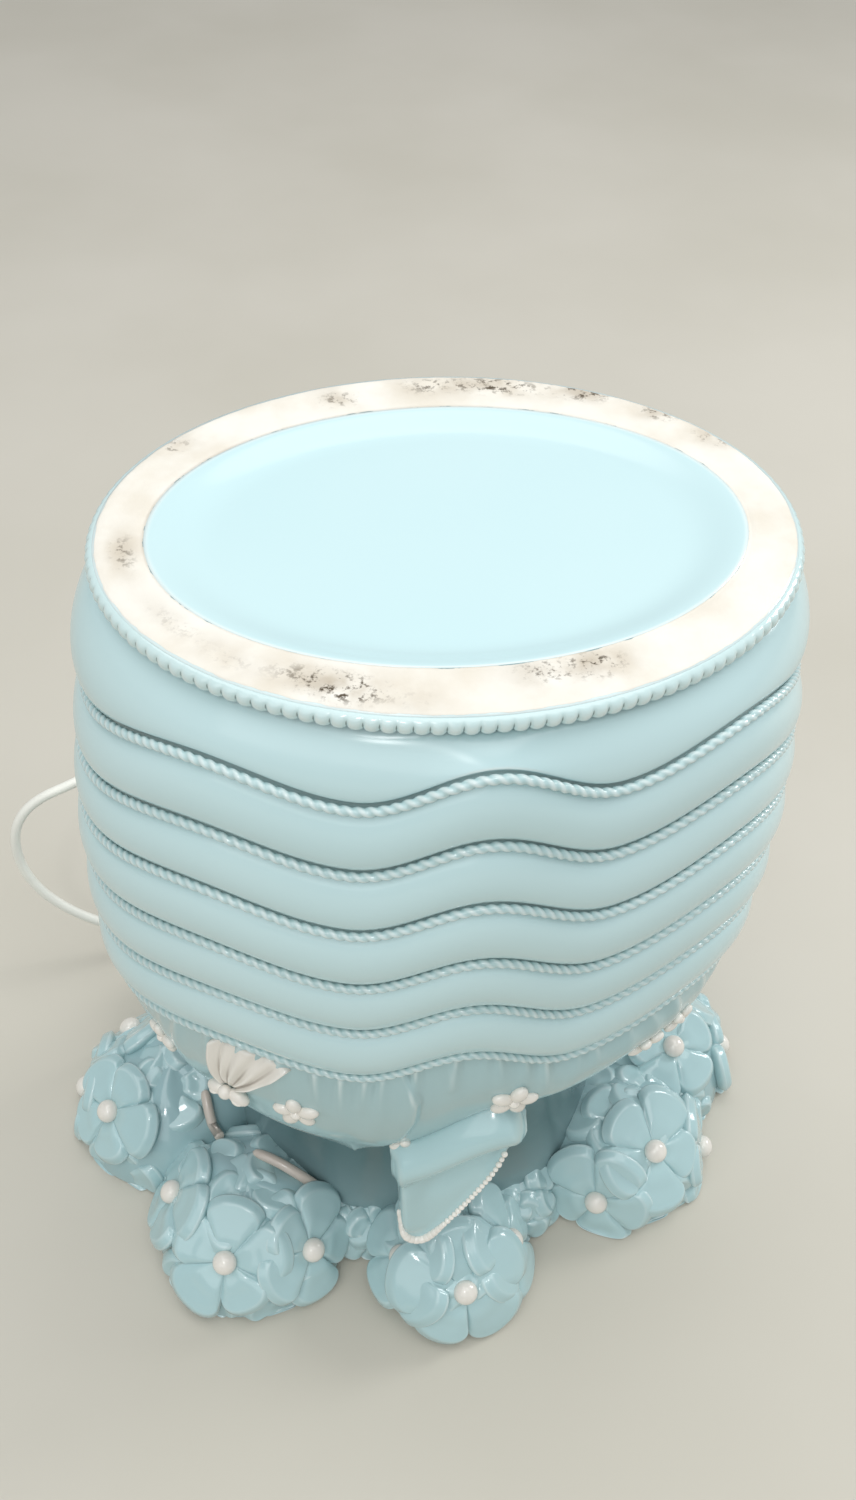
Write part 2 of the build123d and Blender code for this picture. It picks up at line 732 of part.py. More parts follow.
coil_in = heading_of(coil_place, 0)
coil_out = heading_of(coil_place, COIL_TURNS)
coil_start = coil_place(0) - coil_in * FLEX_DIAMETER
coil_end = coil_place(COIL_TURNS) + coil_out * FLEX_DIAMETER
quarter_turns = [step / 4 for step in range(round(COIL_TURNS * 4) + 1)]
with BuildPart() as flex_coil:
    with BuildLine() as coil_path:
        Line(coil_start, coil_place(0))
        draw_curve(coil_place, quarter_turns)
        Line(coil_place(COIL_TURNS), coil_end)
    with BuildSketch(Plane(origin=coil_start, z_dir=coil_in)):
        Circle(FLEX_DIAMETER / 2)
    sweep()
coil_length = sum(edge.length for edge in coil_path.edges())
coil_share = flex_coil.part.volume / (pi * FLEX_DIAMETER**2 / 4 * coil_length)
print("flex_coil length", round(coil_length), "share of volume", round(coil_share, 4))
print("flex_coil least gap", round(least_self_gap(coil_place, 0, COIL_TURNS), 2))
save(flex_coil, "flex_coil")

LEAD_IN = 12.0
link_points = [
    switch_right,
    switch_right + Vector(LEAD_IN, 0, 0),
    coil_start - coil_in * LEAD_IN,
    coil_start,
]
flex_tube(link_points, "flex_link")

plug_end = coil_end + Vector(-PLUG_TAIL, 0, PLUG_THICKNESS / 2 - coil_end.Z)
tail_points = [
    coil_end,
    coil_end + coil_out * LEAD_IN,
    plug_end + Vector(LEAD_IN, 0, 0),
    plug_end,
]
flex_tube(tail_points, "flex_tail")

bundle = COIL_PITCH * half_turns + FLEX_DIAMETER + 2 * TIE_GAP
bundle_height = COIL_PITCH + FLEX_DIAMETER + 2 * TIE_GAP
tie_middle = Vector(coil_x + COIL_MIDDLE_RADIUS, coil_y, TIE_THICKNESS + bundle_height / 2)
with BuildPart() as coil_tie:
    with BuildSketch(Plane(origin=tie_middle, x_dir=(1, 0, 0), z_dir=(0, -1, 0))):
        Rectangle(bundle + 2 * TIE_THICKNESS, bundle_height + 2 * TIE_THICKNESS)
        Rectangle(bundle, bundle_height, mode=Mode.SUBTRACT)
    extrude(amount=TIE_WIDTH / 2, both=True)
    corners = coil_tie.edges().filter_by(Axis.Y).group_by(SortBy.DISTANCE)[-1]
    fillet(corners, TIE_THICKNESS)
save(coil_tie, "coil_tie")

# Switch

switch_middle = on_axis(SWITCH_X, SWITCH_Y, 0)
cover_top = SWITCH_BASE_HEIGHT + SWITCH_COVER_HEIGHT
pin_middle = on_axis(SWITCH_X, SWITCH_Y, cover_top - ROCKER_PIN_DROP)
pin_half = ROCKER_WIDTH / 2 + ROCKER_PIN_OVERHANG

with BuildPart() as switch_base:
    with BuildSketch(Plane(origin=switch_middle)):
        RectangleRounded(SWITCH_LENGTH, SWITCH_WIDTH, SWITCH_CORNER)
    extrude(amount=SWITCH_BASE_HEIGHT)
save(switch_base, "switch_base")

with BuildPart() as switch_cover:
    with BuildSketch(Plane(origin=switch_middle).offset(SWITCH_BASE_HEIGHT)):
        RectangleRounded(SWITCH_LENGTH, SWITCH_WIDTH, SWITCH_CORNER)
    extrude(amount=SWITCH_COVER_HEIGHT)
    fillet(switch_cover.faces().sort_by(Axis.Z)[-1].edges(), SWITCH_COVER_HEIGHT / 4)
    with BuildSketch(Plane(origin=switch_middle).offset(SWITCH_BASE_HEIGHT)):
        Rectangle(ROCKER_LENGTH + 2 * ROCKER_GAP, ROCKER_WIDTH + 2 * ROCKER_GAP)
    extrude(amount=SWITCH_COVER_HEIGHT, mode=Mode.SUBTRACT)
    with BuildSketch(Plane(origin=pin_middle, x_dir=(1, 0, 0), z_dir=(0, -1, 0))):
        Circle(ROCKER_PIN_RADIUS + ROCKER_PIN_GAP)
    extrude(amount=pin_half + ROCKER_GAP, both=True, mode=Mode.SUBTRACT)
save(switch_cover, "switch_cover")

tilt = radians(ROCKER_TILT)
rocker_plane = Plane(origin=pin_middle, x_dir=(cos(tilt), 0, -sin(tilt)), z_dir=(0, -1, 0))
rocker_end = ROCKER_PIN_DROP + ROCKER_RISE / 4
rocker_ridge = ROCKER_PIN_DROP + ROCKER_RISE
with BuildPart() as switch_rocker:
    with BuildSketch(rocker_plane):
        with BuildLine():
            Polyline(
                (-ROCKER_LENGTH / 2, -ROCKER_ROOF),
                (ROCKER_LENGTH / 2, -ROCKER_ROOF),
                (ROCKER_LENGTH / 2, rocker_end),
                (0, rocker_ridge),
                (-ROCKER_LENGTH / 2, rocker_end),
                close=True,
            )
        make_face()
    extrude(amount=ROCKER_WIDTH / 2, both=True)
    with BuildSketch(rocker_plane):
        Circle(ROCKER_PIN_RADIUS)
    extrude(amount=pin_half, both=True)
save(switch_rocker, "switch_rocker")

# Plug

plug_plane = Plane(origin=plug_end, x_dir=(0, 1, 0), z_dir=(-1, 0, 0))
plug_steps = [
    (0.0, PLUG_THICKNESS / 2, PLUG_THICKNESS / 2),
    (PLUG_LENGTH / 2, PLUG_NOSE_WIDTH, PLUG_THICKNESS - 2 * FLEX_FLOOR_GAP),
    (PLUG_LENGTH * 3 / 4, PLUG_WIDTH, PLUG_THICKNESS),
    (PLUG_LENGTH, PLUG_WIDTH, PLUG_THICKNESS),
]
with BuildPart() as plug_body:
    for along, width, thickness in plug_steps:
        with BuildSketch(plug_plane.offset(along)):
            RectangleRounded(width, thickness, thickness / 3)
    loft(ruled=True)
save(plug_body, "plug_body")

with BuildPart() as plug_pins:
    with BuildSketch(plug_plane.offset(PLUG_LENGTH)):
        with GridLocations(PIN_SPACING, 0, 2, 1):
            Circle(PIN_RADIUS)
    extrude(amount=PIN_LENGTH)
    fillet(plug_pins.faces().sort_by(Axis.X)[:2].edges(), PIN_TIP)
save(plug_pins, "plug_pins")
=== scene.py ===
"""Looks of the glazed ceramic flower lamp that stands upside down on its flower crown."""
from math import cos, pi, radians, sin, sqrt

import bmesh
import bpy
import numpy as np
from mathutils import Matrix, Vector


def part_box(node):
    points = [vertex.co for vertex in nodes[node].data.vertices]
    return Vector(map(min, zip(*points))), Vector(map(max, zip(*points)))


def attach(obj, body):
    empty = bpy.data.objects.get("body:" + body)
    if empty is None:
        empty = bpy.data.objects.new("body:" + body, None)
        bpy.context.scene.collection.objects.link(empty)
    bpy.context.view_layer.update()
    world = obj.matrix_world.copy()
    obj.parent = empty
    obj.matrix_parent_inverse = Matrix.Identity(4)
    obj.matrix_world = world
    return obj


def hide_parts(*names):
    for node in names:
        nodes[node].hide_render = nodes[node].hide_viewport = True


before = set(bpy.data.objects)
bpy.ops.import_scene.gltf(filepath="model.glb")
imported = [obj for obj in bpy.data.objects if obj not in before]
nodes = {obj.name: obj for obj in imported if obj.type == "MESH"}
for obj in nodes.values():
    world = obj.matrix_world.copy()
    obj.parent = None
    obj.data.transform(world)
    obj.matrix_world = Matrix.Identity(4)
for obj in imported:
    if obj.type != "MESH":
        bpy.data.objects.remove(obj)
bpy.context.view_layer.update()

MM = 0.001
rng = np.random.default_rng(7)

# Body's axis in the frame, in millimetres
nipple_low, nipple_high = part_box("holder_nipple")
AXIS = np.array([(nipple_low.x + nipple_high.x) / 2, (nipple_low.y + nipple_high.y) / 2, 0.0]) / MM

# Sizes of the vessel, in millimetres
HEIGHT = 330.0
FOOT = (100.0, 76.3)
RING = (86.0, 58.9)
FOOT_LIP = 2.4
RECESS_DEPTH = 4.0
BEAD_INSET = 2.6
BEAD_RADIUS = 2.8
BEAD_SLACK = 0.2
BEAD_Z = HEIGHT - FOOT_LIP - BEAD_RADIUS - BEAD_SLACK
BEAD_SEAT_BOTTOM = BEAD_Z - BEAD_RADIUS - BEAD_SLACK
# Grooves between the bands: drop below the foot face, half width, half depth
GROOVES = [
    (30.0, 106.8, 82.3), (55.0, 111.3, 83.8), (79.0, 113.8, 86.3),
    (106.0, 114.8, 85.8), (134.0, 115.3, 83.3), (164.0, 113.3, 81.3),
]
GROOVE_HALF = 1.7
BAND_SWELL = 0.2
# Wave of the bands: degrees from the front or the back, height
WAVE = [(0.0, 14.0), (25.0, 0.5), (48.0, 5.0), (90.0, -16.0)]
ROPE_RADIUS = 1.5
ROPE_PITCH = 3.4
# Hem of the drape: height, half sizes and the bearing of one of its points
HEM_Z = 104.0
HEM = (96.0, 75.0)
HEM_POINT = -116.6
NECK = (72.0, 56.0)
NECK_WALL = 8.0
NECK_TOP = 90.0
NECK_SPREAD = 6.0
MOUTH_Z = 6.0
LEDGE_Z = 82.0
LEDGE = 6.0
WALL = 9.0
SKIRT_THICKNESS = 4.6
SKIRT_SWELL = 5.5

# Domes of the crown: middle from the axis, radius, height
DOMES = {
    "left": (-106.0, 12.0, 42.0, 40.0),
    "left_front": (-76.0, -48.0, 40.0, 40.0),
    "front": (3.0, -74.0, 30.0, 37.0),
    "right_front": (84.0, -31.0, 38.0, 40.0),
    "right": (104.0, 10.0, 40.0, 40.0),
    "right_back": (60.0, 58.0, 34.0, 40.0),
    "back": (-2.0, 76.0, 32.0, 38.0),
    "left_back": (-66.0, 62.0, 38.0, 40.0),
}
# Flowers on each dome: bearing and elevation in degrees
BLOSSOMS = {
    "left": [(-153, 43), (125, 39), (165, 12)],
    "left_front": [(168, 37), (-113, 44), (-46, 35)],
    "front": [(-160, 44), (-84, 39), (-12, 36)],
    "right_front": [(-117, 22), (-66, 54), (-15, 12)],
    "right": [(-60, 64), (40, 40), (0, 10)],
    "right_back": [(95, 46), (20, 42), (55, 8)],
    "back": [(165, 42), (88, 40), (15, 42)],
    "left_back": [(104, 44), (45, 42), (160, 40)],
}
PETALS = 5
BLOSSOM_RADIUS = 24.0


# Camera, solved from the photograph

CAMERA_PLACE = np.array([-59.5, -313.1, 574.6])
CAMERA_HEADING = (0.1771, 0.9842)
CAMERA_PITCH = radians(46.78)
CAMERA_ROLL = radians(3.0)
FOCAL_PIXELS = 1400.0
IMAGE_HEIGHT = 1500.0
SENSOR = 36.0


def make_camera():
    heading = Vector((*CAMERA_HEADING, 0)).normalized()
    forward = heading * cos(CAMERA_PITCH) - Vector((0, 0, sin(CAMERA_PITCH)))
    right = forward.cross(Vector((0, 0, 1))).normalized()
    up = right.cross(forward)
    right, up = (
        right * cos(CAMERA_ROLL) + up * sin(CAMERA_ROLL),
        up * cos(CAMERA_ROLL) - right * sin(CAMERA_ROLL),
    )
    data = bpy.data.cameras.new("camera")
    data.sensor_width = SENSOR
    data.lens = FOCAL_PIXELS / IMAGE_HEIGHT * SENSOR
    data.clip_start = 0.01
    camera = bpy.data.objects.new("camera", data)
    turn = Matrix((right, up, -forward)).transposed().to_4x4()
    camera.matrix_world = Matrix.Translation(Vector((CAMERA_PLACE + AXIS) * MM)) @ turn
    bpy.context.collection.objects.link(camera)
    bpy.context.scene.camera = camera


make_camera()


# Materials

# Part of a noise's range that most of it lies in
NOISE_RANGE = (0.3, 0.7)
# Sockets of the mix node for its two colours, and for the mixed one
MIX_COLOURS = (6, 7)
MIX_RESULT = 2
# Bends of a surface, per millimetre, at which a glaze begins to change and is changed
RIDGE_BENDS = (0.06, 0.5)
HOLLOW_BENDS = (0.04, 0.35)
# Colours as they look on a screen; a glaze's are its base, where it is thin, where it pools
VESSEL_COLOURS = ((0.765, 0.875, 0.885), (0.87, 0.92, 0.915), (0.52, 0.62, 0.63))
# Painted shade on the neck and on the wall that draws in under the drape
NECK_SHADE_COLOUR = (0.33, 0.45, 0.465)
CLAY_COLOURS = ((0.92, 0.91, 0.875), (0.875, 0.85, 0.795))
DIRT_COLOUR = (0.61, 0.54, 0.43)
SPECK_COLOUR = (0.30, 0.255, 0.185)
FROST_COLOURS = ((0.93, 0.92, 0.88), (0.97, 0.96, 0.93))


def smooth(low, high, value):
    """Runs from 0 at the first value to 1 at the second, eased at both."""
    share = np.clip((value - low) / (high - low), 0, 1)
    return share * share * (3 - 2 * share)


def linear(colour):
    """Colour written as it looks on a screen, turned into the linear values of a shader."""
    return [c / 12.92 if c <= 0.04045 else ((c + 0.055) / 1.055) ** 2.4 for c in colour] + [1.0]


class Shader:
    """Material with one surface shader, and short ways to add nodes to it."""

    def __init__(self, name, roughness=0.3, specular=0.5, metallic=0.0, coat=0.0):
        self.material = bpy.data.materials.new(name)
        self.material.use_nodes = True
        self.tree = self.material.node_tree
        self.surface = self.tree.nodes["Principled BSDF"]
        self.feed("Roughness", roughness)
        self.feed("Specular IOR Level", specular)
        self.feed("Metallic", metallic)
        self.feed("Coat Weight", coat)
        self.feed("Coat Roughness", 0.04)
        self.place = self.node("TexCoord").outputs["Object"]

    def feed(self, socket, value, node=None):
        """Sets a socket, of the surface unless a node is given, or links another node to it."""
        socket = (node or self.surface).inputs[socket]
        if isinstance(value, (float, list)):
            socket.default_value = value
        else:
            self.tree.links.new(value, socket)

    def node(self, kind, **inputs):
        """Adds a node and feeds its inputs, named with _ for each space."""
        node = self.tree.nodes.new("ShaderNode" + kind)
        for name, value in inputs.items():
            self.feed(name.replace("_", " "), value, node)
        return node

    def noise(self, scale, detail=3.0, roughness=0.5):
        inputs = {"Scale": scale, "Detail": detail, "Roughness": roughness, "Vector": self.place}
        return self.node("TexNoise", **inputs).outputs["Fac"]

    def attribute(self, name):
        node = self.node("Attribute")
        node.attribute_name = name
        return node.outputs["Fac"]

    def remap(self, value, low, high, to_low=0.0, to_high=1.0):
        node = self.node("MapRange", From_Min=low, From_Max=high, To_Min=to_low, To_Max=to_high)
        node.interpolation_type = "SMOOTHSTEP"
        self.feed("Value", value, node)
        return node.outputs["Result"]

    def mottle(self, scale, detail=3.0, to_low=0.0, to_high=1.0):
        """Noise spread over a range of values."""
        return self.remap(self.noise(scale, detail), *NOISE_RANGE, to_low, to_high)

    def math(self, operation, first, second):
        node = self.node("Math")
        node.operation = operation
        for socket, value in enumerate((first, second)):
            self.feed(socket, value, node)
        return node.outputs[0]

    def mix(self, share, first, second):
        """Mixes two colours, each a list of values or another node's colour."""
        node = self.node("Mix")
        node.data_type = "RGBA"
        self.feed("Factor", share, node)
        for socket, value in zip(MIX_COLOURS, (first, second)):
            self.feed(socket, value, node)
        return node.outputs[MIX_RESULT]

    def bump(self, height, strength, distance):
        node = self.node("Bump", Strength=strength, Distance=distance, Height=height)
        self.feed("Normal", node.outputs["Normal"])


def glaze_colour(shader, base, thin, deep, ridge=RIDGE_BENDS, hollow=HOLLOW_BENDS):
    """Glaze that runs thin and pale on ridges and pools darker in hollows."""
    edge = shader.attribute("edge")
    paler = [0.5 * (a + b) for a, b in zip(base, thin)]
    drift = shader.mottle(9.0, 2.0, 0.0, 0.22)
    colour = shader.mix(drift, linear(base), linear(paler))
    colour = shader.mix(shader.remap(edge, -hollow[0], -hollow[1]), colour, linear(deep))
    on_ridges = shader.remap(edge, *ridge)
    broken = shader.remap(shader.noise(60.0), 0.2, 0.6, 0.6, 1.0)
    return shader.mix(shader.math("MULTIPLY", on_ridges, broken), colour, linear(thin))


def glaze(name, *colours, ridge=RIDGE_BENDS, hollow=HOLLOW_BENDS):
    shader = Shader(name, coat=0.35)
    shader.feed("Base Color", glaze_colour(shader, *colours, ridge, hollow))
    gloss, ripples = shader.mottle(35.0, 4.0, 0.10, 0.2), shader.noise(70.0)
    shader.feed("Roughness", gloss)
    shader.bump(ripples, 0.05, 0.0008)
    return shader.material


def vessel_material():
    """Pale blue glaze, with an unglazed foot ring that is scuffed where it stood on things."""
    shader = Shader("vessel_glaze")
    glazed = glaze_colour(shader, *VESSEL_COLOURS, ridge=(0.1, 0.6))
    # Painted shade darkens the glaze under the drape
    glazed = shader.mix(shader.attribute("pool"), glazed, linear(NECK_SHADE_COLOUR))
    grain = shader.noise(420.0, 6.0, 0.65)
    patches = shader.remap(shader.noise(45.0, 4.0), 0.35, 0.7)
    bare = shader.mix(patches, *map(linear, CLAY_COLOURS))
    scuff = shader.attribute("scuff")
    dirt = shader.remap(shader.noise(95.0, 5.0), 0.3, 0.65, 0.0, 0.75)
    bare = shader.mix(shader.math("MULTIPLY", scuff, dirt), bare, linear(DIRT_COLOUR))
    scuffed, dots = shader.remap(scuff, 0.15, 0.8), shader.remap(grain, 0.5, 0.62)
    bare = shader.mix(shader.math("MULTIPLY", scuffed, dots), bare, linear(SPECK_COLOUR))
    mask = shader.attribute("bare")
    ragged = shader.math("ADD", mask, shader.mottle(160.0, 4.0, -0.22, 0.22))
    mask = shader.remap(ragged, 0.42, 0.58)
    shader.feed("Base Color", shader.mix(mask, glazed, bare))
    gloss = shader.mottle(35.0, 4.0, 0.12, 0.22)
    matt = shader.math("MULTIPLY", mask, 0.8)
    shader.feed("Roughness", shader.math("MAXIMUM", gloss, matt))
    shader.bump(shader.math("MULTIPLY", mask, grain), 0.25, 0.0006)
    return shader.material


def plastic(name, colour, roughness):
    shader = Shader(name, roughness=roughness)
    light = [min(1.0, c * 1.05) for c in colour]
    shader.feed("Base Color", shader.mix(shader.mottle(30.0), linear(colour), linear(light)))
    shader.feed("Roughness", shader.mottle(140.0, 4.0, roughness - 0.06, roughness + 0.08))
    shader.bump(shader.noise(900.0), 0.05, 0.0002)
    return shader.material


def metal(name, colour, roughness):
    shader = Shader(name, roughness=roughness, metallic=1.0)
    dull = [c * 0.8 for c in colour]
    stains = shader.remap(shader.noise(80.0, 5.0), 0.35, 0.7)
    shader.feed("Base Color", shader.mix(stains, linear(colour), linear(dull)))
    shader.feed("Roughness", shader.mottle(120.0, 5.0, roughness, roughness + 0.18))
    return shader.material


def bulb_material():
    shader = Shader("bulb_frost", roughness=0.35)
    shader.feed("Base Color", shader.mix(shader.mottle(60.0), *map(linear, FROST_COLOURS)))
    shader.feed("Transmission Weight", 0.35)
    return shader.material


VESSEL_GLAZE = vessel_material()
ROPE_GLAZE = glaze(
    "rope_glaze", (0.71, 0.82, 0.825), (0.85, 0.90, 0.895), (0.45, 0.54, 0.55),
    ridge=(0.15, 0.8),
)
BEAD_GLAZE = glaze(
    "bead_rope_glaze", (0.77, 0.865, 0.865), (0.91, 0.925, 0.90), (0.48, 0.57, 0.57),
    ridge=(0.2, 0.55),
)
# The drape's glaze is painted darker than the vessel's, as painted shade on the drape's downward
# face; the tail's glaze is the same cloth glaze, paler, without that painted shade
SHADED_DRAPE_GLAZE = glaze(
    "drape_glaze_painted_shade", (0.645, 0.765, 0.775), (0.83, 0.89, 0.885), (0.47, 0.575, 0.585),
    ridge=(0.06, 0.4),
)
TAIL_GLAZE = glaze(
    "tail_glaze", (0.69, 0.815, 0.825), (0.82, 0.89, 0.89), (0.46, 0.57, 0.59),
    ridge=(0.08, 0.5), hollow=(0.03, 0.25),
)
PETAL_GLAZE = glaze(
    "petal_glaze", (0.675, 0.80, 0.81), (0.82, 0.893, 0.895), (0.48, 0.61, 0.635),
    ridge=(0.1, 0.5), hollow=(0.06, 0.5),
)
DOME_GLAZE = glaze("dome_glaze", (0.62, 0.745, 0.76), (0.76, 0.85, 0.855), (0.43, 0.55, 0.575))
WHITE_GLAZE = glaze(
    "white_glaze", (0.90, 0.885, 0.85), (0.96, 0.95, 0.92), (0.66, 0.63, 0.59),
    ridge=(0.2, 0.8), hollow=(0.1, 0.8),
)
RIDGE_GLAZE = glaze(
    "ridge_glaze", (0.80, 0.76, 0.715), (0.87, 0.83, 0.785), (0.60, 0.57, 0.54),
    ridge=(0.3, 0.8), hollow=(0.1, 0.8),
)
FLEX_SHEATH = plastic("flex_sheath", (0.905, 0.905, 0.87), 0.42)
SWITCH_SHELL = plastic("switch_shell", (0.90, 0.895, 0.86), 0.3)
ROCKER_SHELL = plastic("rocker_shell", (0.85, 0.84, 0.80), 0.25)
HOLDER_SHELL = plastic("holder_shell", (0.10, 0.10, 0.10), 0.4)
BRASS = metal("brass", (0.80, 0.68, 0.42), 0.25)
PLATE_STEEL = metal("plate_steel", (0.72, 0.72, 0.70), 0.35)
CAP_METAL = metal("cap_metal", (0.78, 0.78, 0.77), 0.28)
BULB_FROST = bulb_material()


# Meshes

# Points nearer than the first, in metres, are welded; edges under the second are dissolved
WELD = 1e-6
SLIVER = 1e-7


class Cloth:
    """Gathers grids of points, each closed all round, into one mesh."""

    def __init__(self):
        self.points = []
        self.faces = []
        self.values = {}
        self.count = 0

    def grid(self, points, along=False, **values):
        """Adds a grid of points, closed along too if asked; one with values is the only grid."""
        rows, columns = points.shape[:2]
        index = np.arange(rows * columns).reshape(rows, columns) + self.count
        index = np.concatenate([index, index[:, :1]], 1)
        if along:
            index = np.concatenate([index, index[:1]], 0)
        quads = np.stack([index[:-1, :-1], index[:-1, 1:], index[1:, 1:], index[1:, :-1]], -1)
        self.faces.append(quads.reshape(-1, 4))
        self.points.append(points.reshape(-1, 3))
        self.values.update(values)
        self.count += rows * columns
        return self

    def piece(self, name, material, slot, *nodes_replaced, body="lamp"):
        mesh = bpy.data.meshes.new(name)
        points = np.concatenate(self.points) * MM
        mesh.from_pydata(points.tolist(), [], np.concatenate(self.faces).tolist())
        for key, value in self.values.items():
            layer = mesh.attributes.new(key, "FLOAT", "POINT")
            layer.data.foreach_set("value", value.reshape(-1).astype(np.float32))
        welded = bmesh.new()
        welded.from_mesh(mesh)
        bmesh.ops.remove_doubles(welded, verts=welded.verts, dist=WELD)
        bmesh.ops.dissolve_degenerate(welded, edges=welded.edges, dist=SLIVER)
        bmesh.ops.recalc_face_normals(welded, faces=welded.faces)
        welded.to_mesh(mesh)
        welded.free()
        mesh.polygons.foreach_set("use_smooth", [True] * len(mesh.polygons))
        mark_edges(mesh)
        mesh.materials.append(material)
        piece = bpy.data.objects.new(name, mesh)
        bpy.context.collection.objects.link(piece)
        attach(piece, body)
        if nodes_replaced:
            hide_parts(*nodes_replaced)


def read(collection, name, width, kind):
    values = np.empty(len(collection) * width, kind)
    collection.foreach_get(name, values)
    return values.reshape(-1, width)


def mark_edges(mesh):
    """Stores the bend at each point, per millimetre: over 0 on ridges, under 0 in hollows."""
    count = len(mesh.vertices)
    place = read(mesh.vertices, "co", 3, np.float32) / MM
    normal = read(mesh.vertex_normals, "vector", 3, np.float32)
    ends = read(mesh.edges, "vertices", 2, np.int32)
    step = place[ends[:, 1]] - place[ends[:, 0]]
    length2 = np.maximum((step * step).sum(1), 1e-4)
    bend = np.zeros(count)
    share = np.zeros(count)
    np.add.at(bend, ends[:, 0], -2 * (step * normal[ends[:, 0]]).sum(1) / length2)
    np.add.at(bend, ends[:, 1], 2 * (step * normal[ends[:, 1]]).sum(1) / length2)
    np.add.at(share, ends.ravel(), 1.0)
    bend = np.clip(bend / np.maximum(share, 1), -1.5, 1.5)
    for _ in range(2):
        near = np.zeros(count)
        np.add.at(near, ends[:, 0], bend[ends[:, 1]])
        np.add.at(near, ends[:, 1], bend[ends[:, 0]])
        bend = 0.5 * bend + 0.5 * near / np.maximum(share, 1)
    layer = mesh.attributes.new("edge", "FLOAT", "POINT")
    layer.data.foreach_set("value", bend.astype(np.float32))


def unit(vectors):
    return vectors / np.linalg.norm(vectors, axis=-1, keepdims=True)


def turns(count):
    """Even steps once round, as a row."""
    return np.linspace(0, 2 * pi, count, endpoint=False)[None, :]


def outwards(angle, climb=0.0):
    """Directions away from the axis at bearings."""
    return np.stack([np.cos(angle), np.sin(angle), np.full_like(angle, climb)], -1)


def run_along(points):
    """Distance of each point of a line from its start."""
    return np.concatenate([[0], np.cumsum(np.linalg.norm(np.diff(points, axis=0), axis=1))])


def tube(centre, first, second, radius, turn):
    """Rings of points round a line, each on its own two axes."""
    along_first = first[:, None] * (radius * np.cos(turn))[..., None]
    along_second = second[:, None] * (radius * np.sin(turn))[..., None]
    return centre[:, None] + along_first + along_second


def globe(up, turn):
    """Points of a ball of radius 1, from angles off its pole and round it."""
    flat = np.sin(up)
    return np.stack(np.broadcast_arrays(flat * np.cos(turn), flat * np.sin(turn), np.cos(up)), -1)


def ball(middle, axes, half, rows, columns):
    """Rounded lump at a place, with its three axes and half sizes."""
    local = globe(np.linspace(0, pi, rows)[:, None], turns(columns))
    return np.asarray(middle) + (local * np.asarray(half)) @ np.asarray(axes)


def oval(half, angle):
    """Radius at a bearing of an oval with two half sizes."""
    return half[0] * half[1] / np.hypot(half[1] * np.cos(angle), half[0] * np.sin(angle))


def wave(angle):
    """Height of the bands' wave, the same at the front and the back."""
    degrees = np.abs((np.degrees(angle) + 90 + 180) % 360 - 180)
    folded = np.minimum(degrees, 180 - degrees)
    height = np.full_like(folded, WAVE[-1][1])
    for (start, low), (end, high) in reversed(list(zip(WAVE, WAVE[1:]))):
        share = np.clip((folded - start) / (end - start), 0, 1)
        height = np.where(folded <= end, low + (high - low) * (1 - np.cos(pi * share)) / 2, height)
    return height


def groove(index, angle):
    """Radius and height of a groove at a bearing."""
    drop, half_width, half_depth = GROOVES[index]
    return oval((half_width, half_depth), angle), HEIGHT - drop + wave(angle)


def round_axis(radius, angle, height):
    """Points at a distance from the axis, at a bearing, at a height."""
    radius, angle, height = np.broadcast_arrays(radius, angle, height)
    return np.stack([radius * np.cos(angle), radius * np.sin(angle), height], -1) + AXIS


# Vessel

VESSEL_SIDES = 480
# Recess: shares of the way to the ring, part that rises to the ring, drop at its edge
RECESS_SHARES = np.concatenate([np.linspace(0, 0.7, 8), np.linspace(0.73, 1.0, 22)])
DISH_SHARE = 0.24
RECESS_EDGE = 0.5
RING_DROP = 0.25
# Lip of the foot and seat of the beads: inset from the edge, height
SEAT = [
    (0.0, HEIGHT - 1.2), (0.0, HEIGHT - FOOT_LIP), (BEAD_INSET - 1.2, HEIGHT - FOOT_LIP - 0.7),
    (BEAD_INSET, HEIGHT - FOOT_LIP - 1.6), (BEAD_INSET, BEAD_SEAT_BOTTOM + 0.6),
]
BAND_STEPS = 14
# Groove: place in its half height, depth
GROOVE_PROFILE = [(0.5, 0.8), (0.0, 1.0), (-0.6, 0.6)]
SHOULDER_DROP = 20.0
# Neck: its heights, heights between which it spreads, and heights over which its painted shade from
# the drape deepens
NECK_HEIGHTS = (NECK_TOP - 26, MOUTH_Z + 3)
NECK_SPREADS = (55, 8)
NECK_SHADE_HEIGHTS = (-60, 70)
MOUTH_ROUND = 2.5
# Bore: inset, height; underside of the recess: share of the ring, drop below the foot face
BORE = [
    (0.0, MOUTH_Z + 8), (0.0, LEDGE_Z - 1), (0.0, LEDGE_Z), (LEDGE, LEDGE_Z), (LEDGE, LEDGE_Z + 10)
]
UNDERSIDE = [(1.0, 21.0), (0.98, 12.0), (0.0, 12.0)]
# Dirt on the foot ring: bearing, spread in degrees, strength, place across the ring
SCUFFS = [
    (-119, 7, 0.95, 0.58), (-129, 7, 0.45, 0.45), (-76, 9, 0.6, 0.25), (-64, 6, 0.65, 0.35),
    (111, 6, 0.55, 0.5), (88, 7, 0.5, 0.66), (70, 12, 0.75, 0.7), (50, 6, 0.7, 0.85),
    (34, 4, 0.6, 0.84), (22, 4, 0.6, 0.86), (-177, 6, 0.5, 0.42), (150, 4, 0.5, 0.78),
    (-156, 9, 0.3, 0.45), (-142, 6, 0.25, 0.6), (-105, 6, 0.25, 0.7),
]


